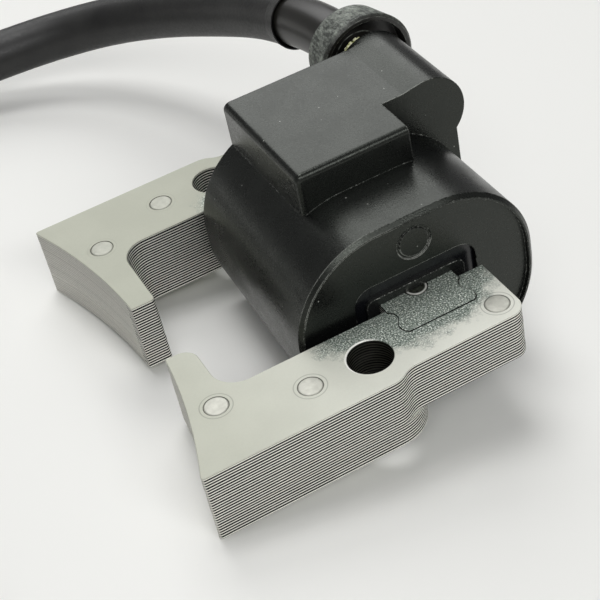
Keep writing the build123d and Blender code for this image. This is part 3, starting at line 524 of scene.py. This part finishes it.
def shaded_bore_edges(name):
    """Wall of the front mounting hole: the same edges, painted dark as the shade inside the hole."""
    return stacked_edges(name, "#030303", "#4C4C44", line=0.5, softness=0.05, mottle=0.5)


def ground_pole_face(name):
    """Pole face ground to its curve: the steel is smeared over the joints, so the lines are faint."""
    return stacked_edges(
        name, "#A8A69E", "#DCDBD4", line=0.3, softness=0.14, mottle=0.28, wear_size=0.3 * MM,
    )


def varnished_rivet(name):
    """Rivet end under dried varnish: dull and dark, with a bright ring near its rim: rubbed varnish,
    brightened as a painted highlight.
    """
    material, tree, shader = new_material(name, roughness=0.35, metallic=0.5)
    place = core_place(tree)
    folded = add(tree, "ShaderNodeVectorMath", {"operation": "ABSOLUTE"}, {0: place}).outputs["Vector"]
    flat = add(
        tree, "ShaderNodeVectorMath", {"operation": "MULTIPLY", 1: (1, 1, 0)}, {0: folded},
    ).outputs["Vector"]
    middle = RIVETS["bridge_rivets"][0]
    out = add(
        tree, "ShaderNodeVectorMath", {"operation": "DISTANCE", 1: (middle.x, abs(middle.y), 0)},
        {0: flat},
    ).outputs["Value"]
    # Painted highlight: the bright ring on the rounded rim.
    highlight_and_wear = band(tree, out, RIVET_R - 0.25 * MM, 0.4 * MM)
    blotches = add(tree, "ShaderNodeTexNoise", {"Scale": 1 / (0.5 * MM), "Detail": 3.0}, {"Vector": place})
    dull = add(
        tree, "ShaderNodeValToRGB", {"stops": [(0.35, "#23261F"), (0.7, "#50544B")]},
        {"Fac": blotches.outputs["Fac"]},
    ).outputs["Color"]
    colour = add(
        tree, "ShaderNodeMix", {"data_type": "RGBA", 7: linear("#FFFFF8")}, {0: highlight_and_wear, 6: dull},
    ).outputs[2]
    tree.links.new(colour, shader.inputs["Base Color"])
    return material


def moulded_nylon(name, colour="#0C0D0D", highlight_and_wear="#B0B2AC"):
    """Glass-filled nylon, injection moulded.

    It is near black with a soft gloss from a fine spark-eroded mould, its edges are rubbed pale and carry
    painted highlights, and a few specks of dust lie on it.
    """
    material, tree, shader = new_material(name, roughness=0.3, colour=colour)
    shader.inputs["Specular Tint"].default_value = linear("#EEF6EA")
    place = add(tree, "ShaderNodeTexCoord").outputs["Object"]
    # Pale edges: wear, made stronger as painted highlights in the highlight spots.
    rounded, wear = worn_and_highlit_edges(tree, 0.25 * MM, 0.52, 0.7, 0.5 * MM, HIGHLIGHT_SPOTS)
    grain = add(tree, "ShaderNodeTexNoise", {"Scale": 1 / (0.25 * MM), "Detail": 2.0}, {"Vector": place})
    clouds = add(tree, "ShaderNodeTexNoise", {"Scale": 1 / (5 * MM), "Detail": 4.0}, {"Vector": place})
    cell = add(tree, "ShaderNodeTexVoronoi", {"Scale": 1 / (3 * MM)}, {"Vector": place})
    speck = add(
        tree, "ShaderNodeMapRange", {"From Min": 0.045, "From Max": 0.03, "To Max": 0.7},
        {"Value": cell.outputs["Distance"]},
    ).outputs["Result"]
    pale = add(tree, "ShaderNodeMath", {"operation": "MAXIMUM"}, {0: wear, 1: speck}).outputs["Value"]
    shade = add(
        tree, "ShaderNodeMix", {"data_type": "RGBA", 6: linear(colour), 7: linear(highlight_and_wear)}, {0: pale},
    ).outputs[2]
    tree.links.new(shade, shader.inputs["Base Color"])
    patchy = add(
        tree, "ShaderNodeMix", {"data_type": "FLOAT", 0: 0.6},
        {2: clouds.outputs["Fac"], 3: grain.outputs["Fac"]},
    ).outputs[0]
    gloss = add(
        tree, "ShaderNodeMapRange", {"From Min": 0.35, "From Max": 0.65, "To Min": 0.22, "To Max": 0.38},
        {"Value": patchy},
    ).outputs["Result"]
    tree.links.new(gloss, shader.inputs["Roughness"])
    normal = add(
        tree, "ShaderNodeBump", {"Strength": 0.6, "Distance": 0.03 * MM},
        {"Height": grain.outputs["Fac"], "Normal": rounded},
    ).outputs["Normal"]
    tree.links.new(normal, shader.inputs["Normal"])
    return material


def boot_rubber(name):
    """Moulded rubber: the thick ring is dusty with pale streaks, its edges are pale with wear and painted
    highlights, and the spigot beyond it is smooth.
    """
    material, tree, shader = new_material(name, roughness=0.5)
    place = core_place(tree)
    # Pale edges: wear, and a painted highlight along the ring's rims.
    rounded, wear = worn_and_highlit_edges(tree, 0.3 * MM, 0.4, 0.62, 0.6 * MM)

    # The ring is where the boot is thick: between its two ends, and near its tapered outside.
    across = add(tree, "ShaderNodeSeparateXYZ", links={0: place}).outputs["Y"]
    before = add(
        tree, "ShaderNodeMapRange", {"From Min": RING_NEAR, "From Max": RING_NEAR + 0.8 * MM},
        {"Value": across},
    ).outputs["Result"]
    after = add(
        tree, "ShaderNodeMapRange", {"From Min": RING_FAR + 0.5 * MM, "From Max": RING_FAR},
        {"Value": across},
    ).outputs["Result"]
    along_ring = add(
        tree, "ShaderNodeMath", {"operation": "MULTIPLY"}, {0: before, 1: after},
    ).outputs["Value"]
    from_axis = add(
        tree, "ShaderNodeVectorMath", {"operation": "SUBTRACT", 1: TOWER}, {0: place},
    ).outputs["Vector"]
    round_axis = add(
        tree, "ShaderNodeVectorMath", {"operation": "MULTIPLY", 1: (1, 0, 1)}, {0: from_axis},
    ).outputs["Vector"]
    out = add(tree, "ShaderNodeVectorMath", {"operation": "LENGTH"}, {0: round_axis}).outputs["Value"]
    untapered = add(
        tree, "ShaderNodeMath", {"operation": "MULTIPLY_ADD", 1: RING_TAPER}, {0: across, 2: out},
    ).outputs["Value"]
    full = RING_R + RING_TAPER * RING_NEAR
    outside = add(
        tree, "ShaderNodeMapRange", {"From Min": full - 0.6 * MM, "From Max": full - 0.3 * MM},
        {"Value": untapered},
    ).outputs["Result"]
    on_ring = add(
        tree, "ShaderNodeMath", {"operation": "MULTIPLY"}, {0: along_ring, 1: outside},
    ).outputs["Value"]

    # Dust lies in streaks about 0.55 mm wide along the ring, in patches of 4 mm.
    stretched = add(tree, "ShaderNodeMapping", {"Scale": (1, 0.35, 1)}, {"Vector": place}).outputs["Vector"]
    streaks = add(
        tree, "ShaderNodeTexNoise", {"Scale": 1 / (0.55 * MM), "Detail": 6.0, "Roughness": 0.75},
        {"Vector": stretched},
    ).outputs["Fac"]
    patches = add(
        tree, "ShaderNodeTexNoise", {"Scale": 1 / (4 * MM), "Detail": 3.0}, {"Vector": place},
    ).outputs["Fac"]
    dust = add(
        tree, "ShaderNodeMath", {"operation": "MULTIPLY_ADD", 1: 0.5}, {0: patches, 2: streaks},
    ).outputs["Value"]
    bloom = add(
        tree, "ShaderNodeMapRange", {"From Min": 0.64, "From Max": 0.96}, {"Value": dust},
    ).outputs["Result"]
    bloom = add(tree, "ShaderNodeMath", {"operation": "MULTIPLY"}, {0: bloom, 1: on_ring}).outputs["Value"]
    pale = add(tree, "ShaderNodeMath", {"operation": "MAXIMUM"}, {0: bloom, 1: wear}).outputs["Value"]
    base = add(
        tree, "ShaderNodeMix", {"data_type": "RGBA", 6: linear("#1D1C19"), 7: linear("#2B2F2B")},
        {0: on_ring},
    ).outputs[2]
    colour = add(
        tree, "ShaderNodeMix", {"data_type": "RGBA", 7: linear("#989E95")}, {0: pale, 6: base},
    ).outputs[2]
    tree.links.new(colour, shader.inputs["Base Color"])
    matt = add(
        tree, "ShaderNodeMapRange", {"To Min": 0.34, "To Max": 0.65}, {"Value": on_ring},
    ).outputs["Result"]
    tree.links.new(matt, shader.inputs["Roughness"])
    relief = add(
        tree, "ShaderNodeMath", {"operation": "MULTIPLY"}, {0: streaks, 1: on_ring},
    ).outputs["Value"]
    normal = add(
        tree, "ShaderNodeBump", {"Strength": 0.5, "Distance": 0.08 * MM},
        {"Height": relief, "Normal": rounded},
    ).outputs["Normal"]
    tree.links.new(normal, shader.inputs["Normal"])
    return material


def extruded_rubber(name, colour="#131313"):
    """Extruded rubber: black and matt, with a slight sheen and a fine grain."""
    material, tree, shader = new_material(name, roughness=0.5, colour=colour)
    place = add(tree, "ShaderNodeTexCoord").outputs["Object"]
    grain = add(tree, "ShaderNodeTexNoise", {"Scale": 1 / (0.5 * MM), "Detail": 3.0}, {"Vector": place})
    clouds = add(tree, "ShaderNodeTexNoise", {"Scale": 1 / (6 * MM), "Detail": 3.0}, {"Vector": place})
    shade = add(
        tree, "ShaderNodeValToRGB", {"stops": [(0.35, colour), (0.7, "#232322")]},
        {"Fac": clouds.outputs["Fac"]},
    ).outputs["Color"]
    tree.links.new(shade, shader.inputs["Base Color"])
    sheen = add(
        tree, "ShaderNodeMapRange", {"From Min": 0.3, "From Max": 0.7, "To Min": 0.4, "To Max": 0.55},
        {"Value": grain.outputs["Fac"]},
    ).outputs["Result"]
    tree.links.new(sheen, shader.inputs["Roughness"])
    normal = add(
        tree, "ShaderNodeBump", {"Strength": 0.3, "Distance": 0.03 * MM}, {"Height": grain.outputs["Fac"]},
    ).outputs["Normal"]
    tree.links.new(normal, shader.inputs["Normal"])
    return material


def mottled_finish(name, light, dark, roughness, metallic=0.0, size=1.5 * MM):
    """A finish with soft blotches of two near shades, for the small pieces and those inside."""
    material, tree, shader = new_material(name, roughness=roughness, metallic=metallic)
    place = add(tree, "ShaderNodeTexCoord").outputs["Object"]
    blotches = add(
        tree, "ShaderNodeTexNoise", {"Scale": 1 / size, "Detail": 3.0}, {"Vector": place},
    ).outputs["Fac"]
    shade = add(
        tree, "ShaderNodeValToRGB", {"stops": [(0.3, dark), (0.7, light)]}, {"Fac": blotches},
    ).outputs["Color"]
    tree.links.new(shade, shader.inputs["Base Color"])
    normal = add(
        tree, "ShaderNodeBump", {"Strength": 0.15, "Distance": 0.03 * MM}, {"Height": blotches},
    ).outputs["Normal"]
    tree.links.new(normal, shader.inputs["Normal"])
    return material


def enamelled_wire(name, pitch):
    """Enamelled copper wire in close turns, drawn as coarse as it needs to show."""
    material, tree, shader = new_material(name, roughness=0.3, metallic=0.9)
    place = core_place(tree)
    turns = add(
        tree, "ShaderNodeTexWave", {"bands_direction": "Y", "Scale": 1 / (20 * pitch), "Distortion": 0.2},
        {"Vector": place},
    ).outputs["Fac"]
    shade = add(
        tree, "ShaderNodeValToRGB", {"stops": [(0.0, "#5A2410"), (0.6, "#B4602C")]}, {"Fac": turns},
    ).outputs["Color"]
    tree.links.new(shade, shader.inputs["Base Color"])
    normal = add(
        tree, "ShaderNodeBump", {"Strength": 0.6, "Distance": 0.05 * MM}, {"Height": turns},
    ).outputs["Normal"]
    tree.links.new(normal, shader.inputs["Normal"])
    return material


# ------------------------------------------------------------------ mesh helpers


def merged_copy(node):
    """A copy of a CAD node's mesh as one closed skin, square to the sheets, with flat faces joined."""
    bm = bmesh.new()
    bm.from_mesh(frame["nodes"][node].data)
    bmesh.ops.transform(bm, matrix=SQUARE, verts=bm.verts)
    bmesh.ops.remove_doubles(bm, verts=bm.verts, dist=0.002 * MM)
    bmesh.ops.dissolve_limit(bm, angle_limit=math.radians(0.5), verts=bm.verts, edges=bm.edges)
    return bm


def islands(bm):
    """The separate skins in a mesh, each as a list of its vertices."""
    left = dict.fromkeys(bm.verts)
    groups = []
    while left:
        group = [left.popitem()[0]]
        for vert in group:
            for edge in vert.link_edges:
                other = edge.other_vert(vert)
                if other in left:
                    del left[other]
                    group.append(other)
        groups.append(group)
    return groups


def sharp_edges(bm):
    """The edges where two faces meet at more than 60 degrees."""
    return [edge for edge in bm.edges if edge.calc_face_angle(0) > math.radians(60)]


def piece_from(bm, name, materials, sharp_angle=35):
    """Writes a bmesh to a new object that rides on the coil. Past the sharp angle, it isn't smoothed."""
    bmesh.ops.transform(bm, matrix=CORE, verts=bm.verts)
    for face in bm.faces:
        face.smooth = True
    mesh = bpy.data.meshes.new(name)
    bm.to_mesh(mesh)
    bm.free()
    mesh.set_sharp_from_angle(angle=math.radians(sharp_angle))
    piece = bpy.data.objects.new(name, mesh)
    bpy.context.scene.collection.objects.link(piece)
    for material in materials:
        mesh.materials.append(material)
    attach(piece, "root")
    return piece


def dress(node, material):
    """Gives a CAD node's object its finish."""
    piece = frame["nodes"][node]
    for slot in piece.material_slots:
        slot.material = material
    if not piece.material_slots:
        piece.data.materials.append(material)


def rivet_middles():
    """Middles of each node's rivets, square to the sheets, and the rivets' radius."""
    middles = {}
    for node in ("front_arm_rivets", "rear_arm_rivets", "bridge_rivets"):
        bm = merged_copy(node)
        middles[node] = []
        for group in islands(bm):
            low = Vector([min(vert.co[axis] for vert in group) for axis in range(3)])
            high = Vector([max(vert.co[axis] for vert in group) for axis in range(3)])
            middles[node].append((low + high) / 2)
            radius = (high.y - low.y) / 2
        bm.free()
    return middles, radius


RIVETS, RIVET_R = rivet_middles()

# ------------------------------------------------------------------ operators


class COIL_OT_add_stage(bpy.types.Operator):
    """Sets up the floor, the lamps, the even light and the camera"""

    bl_idname = "coil.add_stage"
    bl_label = "Add Stage"

    # Half the width of the floor, and each lamp's place and size, in metres.
    floor_reach = 3.0
    lamps = {
        "window": ((0.128, 0.79, 0.75), (0.8, 0.8)),
        "key": ((-0.2, 0.2, 1.06), (0.45, 0.45)),
        "fill": ((-0.13, -0.65, 0.62), (1.0, 0.22)),
    }

    def execute(self, context):
        settings = context.scene.coil_stage
        context.scene.view_settings.view_transform = "Standard"
        self.add_floor(settings)
        self.add_camera(context.scene, settings)
        for name, (place, size) in self.lamps.items():
            self.add_lamp(name, place, size, getattr(settings, name + "_power"))
        self.add_sky(context.scene, settings)
        return {"FINISHED"}

    def add_floor(self, settings):
        bm = bmesh.new()
        bmesh.ops.create_grid(bm, x_segments=1, y_segments=1, size=self.floor_reach)
        mesh = bpy.data.meshes.new("floor")
        bm.to_mesh(mesh)
        bm.free()
        floor = bpy.data.objects.new("floor", mesh)
        bpy.context.scene.collection.objects.link(floor)
        material, tree, shader = new_material("pale_floor", roughness=0.9, colour=settings.floor_colour)
        shader.inputs["Specular IOR Level"].default_value = 0.1
        mesh.materials.append(material)

    @staticmethod
    def add_camera(scene, settings):
        camera = bpy.data.objects.new("camera", bpy.data.cameras.new("camera"))
        scene.collection.objects.link(camera)
        camera.data.lens = settings.lens
        camera.data.clip_start = 0.01
        ahead = Vector((
            math.sin(settings.azimuth) * math.cos(settings.elevation),
            math.cos(settings.azimuth) * math.cos(settings.elevation),
            -math.sin(settings.elevation),
        ))
        camera.location = Vector(settings.aim) - ahead * settings.distance
        camera.rotation_euler = ahead.to_track_quat("-Z", "Y").to_euler()
        scene.camera = camera

    @staticmethod
    def add_lamp(name, place, size, power):
        lamp = bpy.data.objects.new(name, bpy.data.lights.new(name, "AREA"))
        bpy.context.scene.collection.objects.link(lamp)
        lamp.data.shape = "RECTANGLE"
        lamp.data.size, lamp.data.size_y = size
        lamp.data.energy = power
        lamp.location = place
        lamp.rotation_euler = (-Vector(place)).to_track_quat("-Z", "Y").to_euler()

    @staticmethod
    def add_sky(scene, settings):
        world = bpy.data.worlds.new("even_light")
        world.use_nodes = True
        background = world.node_tree.nodes["Background"]
        background.inputs["Color"].default_value = linear("#FFFFFF")
        background.inputs["Strength"].default_value = settings.sky
        scene.world = world


class COIL_OT_add_lead(bpy.types.Operator):
    """Adds the sleeve over the high-tension lead, lying in its curve to the plug cap"""

    bl_idname = "coil.add_lead"
    bl_label = "Add Lead"

    # Route of the sleeve's axis in metres, from the end of the boot's spigot to the cap.
    route = [
        (0.02203, 0.03955, 0.03398),
        (0.02146, 0.04825, 0.03175),
        (0.01805, 0.06216, 0.02680),
        (0.01305, 0.07616, 0.02160),
        (0.00505, 0.08776, 0.01650),
        (-0.00605, 0.09456, 0.01210),
        (-0.01935, 0.09636, 0.00910),
        (-0.03395, 0.09456, 0.00720),
        (-0.04995, 0.08856, 0.00570),
        (-0.06295, 0.07900, 0.00495),
        (-0.07245, 0.06550, 0.00480),
        (-0.07845, 0.04900, 0.00510),
        (-0.08125, 0.03150, 0.00820),
        (-0.08195, 0.01310, 0.01110),
        (-0.08195, -0.00090, 0.01110),
    ]

    def execute(self, context):
        settings = context.scene.coil_lead
        curve = bpy.data.curves.new("lead_sleeve_tube", "CURVE")
        curve.dimensions = "3D"
        curve.bevel_depth = settings.radius
        curve.bevel_resolution = 10
        curve.resolution_u = 16
        curve.use_fill_caps = True
        spline = curve.splines.new("NURBS")
        spline.points.add(len(self.route) - 1)
        for point, place in zip(spline.points, self.route):
            point.co = (*place, 1.0)
        spline.order_u = 3
        spline.use_endpoint_u = True
        sleeve = bpy.data.objects.new("lead_sleeve_tube", curve)
        context.scene.collection.objects.link(sleeve)
        curve.materials.append(extruded_rubber("rubber_sleeve"))
        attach(sleeve, "root")
        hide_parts("lead_sleeve")
        return {"FINISHED"}


class COIL_OT_add_sheet_stacks(bpy.types.Operator):
    """Cuts the solid arms and the bridge into their stacked steel sheets"""

    bl_idname = "coil.add_sheet_stacks"
    bl_label = "Add Sheet Stacks"

    # Heights nearer than this are the same, a cut this near a vertex goes through it, and faces no further
    # than this outside the front hole's radius are its wall, which alone gets the painted shade of the
    # hole.
    same_place = 0.01 * MM
    cut_snap = 0.0001 * MM
    bore_reach = 0.3 * MM
    # Share of a sheet's thickness within which a vertex lies at a joint.
    at_joint = 0.02

    def execute(self, context):
        settings = context.scene.coil_sheets
        steel = rolled_steel("rolled_silicon_steel")
        varnished = rolled_steel("varnished_silicon_steel", smeared=True)
        cuts = [
            punched_edge("punched_steel_edges"), ground_pole_face("ground_pole_faces"),
            shaded_bore_edges("drilled_bore_walls"),
        ]
        dice = random.Random(settings.seed)
        for side in ("front", "rear"):
            for kind in ("long", "short"):
                node = f"{side}_arm_{kind}_sheets"
                self.add_stack(node, settings, [steel, *cuts], "laminated_steel", dice)
        self.add_stack("bridge_bar", settings, [varnished, *cuts], "bridge_steel", dice)
        return {"FINISHED"}

    def add_stack(self, node, settings, materials, slot, dice):
        """One closed mesh per node, with a fine groove at each joint between two sheets.

        The materials are those of its faces, its punched edges, its pole face and its bore.
        """
        bm = merged_copy(node)
        low = min(vert.co.z for vert in bm.verts)
        high = max(vert.co.z for vert in bm.verts)

        # Only the outline of the whole stack's two outer faces is rounded.
        outline = [
            edge for edge in sharp_edges(bm)
            if max(min(vert.co.z, STACK - vert.co.z) for vert in edge.verts) < self.same_place
        ]
        bmesh.ops.bevel(
            bm, geom=outline, affect="EDGES", offset=settings.joint, segments=1, profile=0.5, material=-1,
        )

        # Each joint gets three cuts, and the middle one is drawn in.
        count = round((high - low) / settings.thickness)
        half = settings.groove / 2
        for joint in range(1, count):
            height = low + joint * settings.thickness
            for cut in (height - half, height, height + half):
                bmesh.ops.bisect_plane(
                    bm, geom=bm.verts[:] + bm.edges[:] + bm.faces[:],
                    plane_co=(0, 0, cut), plane_no=(0, 0, 1), dist=self.cut_snap,
                )
        bm.normal_update()
        shifts = [
            Vector((dice.uniform(-1, 1), dice.uniform(-1, 1), 0)) * settings.stagger for _ in range(count)
        ]
        moves = {}
        for vert in bm.verts:
            turns = (vert.co.z - low) / settings.thickness
            nearest = round(turns)
            if 0 < nearest < count and abs(turns - nearest) < self.at_joint:
                inwards = Vector((vert.normal.x, vert.normal.y, 0)).normalized()
                moves[vert] = -inwards * settings.groove_depth
            else:
                moves[vert] = shifts[min(int(turns), count - 1)]

        # The rounding has the faces' finish on the arms, and on the bar that of the punched edges.
        rounding = self.same_place if node == "bridge_bar" else 0.9 * settings.joint
        for face in bm.faces:
            middle = face.calc_center_median()
            outer = min(middle.z, STACK - middle.z) < rounding
            if outer or min(middle.z - low, high - middle.z) < self.same_place:
                face.material_index = 0
            elif face.normal.x < -0.5 and middle.x < POLE_END:
                face.material_index = 2
            elif math.hypot(middle.x, middle.y + HOLE_Y) < HOLE_R + self.bore_reach:
                face.material_index = 3
            else:
                face.material_index = 1
        for vert, move in moves.items():
            vert.co += move
        piece = piece_from(bm, node + "_stack", materials)
        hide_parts(node)


class COIL_OT_add_rivets(bpy.types.Operator):
    """Adds the rivets with their rounded ends, a little proud of the sheets"""

    bl_idname = "coil.add_rivets"
    bl_label = "Add Rivets"

    def execute(self, context):
        settings = context.scene.coil_rivets
        steel = mottled_finish("rivet_steel_pressed", "#CECEC4", "#BCBCB2", 0.5, 0.3, 0.8 * MM)
        # A darker copy for the rear arm's rivets: painted shade, as on the rear arm's sheets.
        painted_shade = mottled_finish("rivet_steel_oiled", "#BDBEB3", "#AFB0A5", 0.55, 0.3, 0.8 * MM)
        varnished = varnished_rivet("rivet_steel_varnished")
        for node in RIVETS:
            bm = merged_copy(node)
            for vert in bm.verts:
                vert.co.z += settings.proud if vert.co.z > STACK / 2 else -settings.proud
            bmesh.ops.bevel(
                bm, geom=sharp_edges(bm), affect="EDGES", offset=settings.rim, segments=3,
                profile=0.5, material=-1,
            )
            finish = {"bridge_rivets": varnished, "rear_arm_rivets": painted_shade}.get(node, steel)
            piece = piece_from(bm, node + "_ends", [finish], sharp_angle=80)
            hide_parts(node)
        return {"FINISHED"}


class COIL_OT_add_glue(bpy.types.Operator):
    """Adds the crumbs of dried glue at the end of the tower"""

    bl_idname = "coil.add_glue"
    bl_label = "Add Glue"

    # Distance of the crumbs from the tower's axis.
    reach = 5.75 * MM
    # Place round the tower in degrees, place along it and size in millimetres.
    crumbs = [
        (103, 18.35, 0.42), (108, 18.55, 0.5), (113, 18.3, 0.36), (118, 18.6, 0.55), (123, 18.4, 0.62),
        (128, 18.65, 0.44), (133, 18.35, 0.5), (139, 18.5, 0.36), (146, 18.45, 0.42),
    ]

    def execute(self, context):
        dice = random.Random(context.scene.coil_sheets.seed)
        glue = mottled_finish("dried_glue", "#E2E0C8", "#9BA05A", 0.45, size=0.5 * MM)
        bm = bmesh.new()
        for degrees, along, size in self.crumbs:
            angle = math.radians(degrees)
            place = TOWER + Vector((
                self.reach * math.cos(angle), along * MM, self.reach * math.sin(angle),
            ))
            made = bmesh.ops.create_icosphere(bm, subdivisions=2, radius=size * MM)
            for vert in made["verts"]:
                vert.co *= dice.uniform(0.75, 1.1)
                vert.co.y *= 0.8
                vert.co += place
        piece_from(bm, "glue_crumbs", [glue], sharp_angle=180)
        return {"FINISHED"}


class COIL_OT_finish_nodes(bpy.types.Operator):
    """Gives each carried-over piece of the coil its finish"""

    bl_idname = "coil.finish_nodes"
    bl_label = "Finish Pieces"

    def execute(self, context):
        dress("coil_housing", moulded_nylon("moulded_nylon"))
        dress("potting_resin", mottled_finish("cast_resin", "#121317", "#0C0D0F", 0.2))
        dress("tower_boot", boot_rubber("moulded_boot_rubber"))
        dress("lead_sleeve_mouth", extruded_rubber("rubber_sleeve_mouth"))
        dress("plug_cap", extruded_rubber("moulded_cap_rubber", "#181818"))
        # The bobbins' pale edges are near white: painted highlights along the collar in the slot.
        for node in ("primary_bobbin", "secondary_bobbin"):
            dress(node, moulded_nylon(node + "_nylon", "#191A1A", "#F2F4EC"))
        dress("primary_winding", enamelled_wire("primary_wire", 0.5 * MM))
        dress("secondary_winding", enamelled_wire("secondary_wire", 0.2 * MM))
        dress("circuit_board", mottled_finish("board_laminate", "#2F6B3C", "#255732", 0.4))
        dress("switching_transistor", mottled_finish("transistor_epoxy", "#202122", "#18191A", 0.4))
        dress("capacitor", mottled_finish("capacitor_film", "#A5712B", "#8C5C20", 0.35))
        dress("resistors", mottled_finish("resistor_lacquer", "#C2A878", "#AA9062", 0.35))
        dress("diode", mottled_finish("diode_epoxy", "#1E1F20", "#161717", 0.35))
        for node in ("primary_pins", "ground_strap", "stop_switch_tab", "plug_cap_screw"):
            dress(node, mottled_finish(node + "_tin_plate", "#C8C8C4", "#AAAAA6", 0.3, 1.0))
        for node in ("ht_terminal", "plug_cap_clip"):
            dress(node, mottled_finish(node + "_brass", "#C9A45A", "#AE8740", 0.3, 1.0))
        for node in ("ht_lead_end", "plug_cap_lead_end"):
            dress(node, mottled_finish(node + "_rubber", "#232424", "#191A1A", 0.5))
        return {"FINISHED"}


# ------------------------------------------------------------------ panel and registration


class COIL_PT_panel(bpy.types.Panel):
    """Lists the steps that dress the coil"""

    bl_label = "Ignition Coil"
    bl_idname = "COIL_PT_panel"
    bl_space_type = "VIEW_3D"
    bl_region_type = "UI"
    bl_category = "Coil"

    def draw(self, context):
        for operator in OPERATORS:
            self.layout.operator(operator.bl_idname)


SETTINGS = {
    "coil_stage": StageSettings, "coil_sheets": SheetSettings, "coil_rivets": RivetSettings,
    "coil_lead": LeadSettings,
}
OPERATORS = (
    COIL_OT_add_stage, COIL_OT_add_lead, COIL_OT_add_sheet_stacks, COIL_OT_add_rivets, COIL_OT_add_glue,
    COIL_OT_finish_nodes,
)


def register():
    for cls in (*SETTINGS.values(), *OPERATORS, COIL_PT_panel):
        bpy.utils.register_class(cls)
    for name, group in SETTINGS.items():
        setattr(bpy.types.Scene, name, bpy.props.PointerProperty(type=group))


def unregister():
    for name in SETTINGS:
        delattr(bpy.types.Scene, name)
    for cls in (COIL_PT_panel, *reversed(OPERATORS), *SETTINGS.values()):
        bpy.utils.unregister_class(cls)


def main():
    register()
    for operator in OPERATORS:
        group, name = operator.bl_idname.split(".")
        getattr(getattr(bpy.ops, group), name)()


if __name__ == "__main__":
    main()
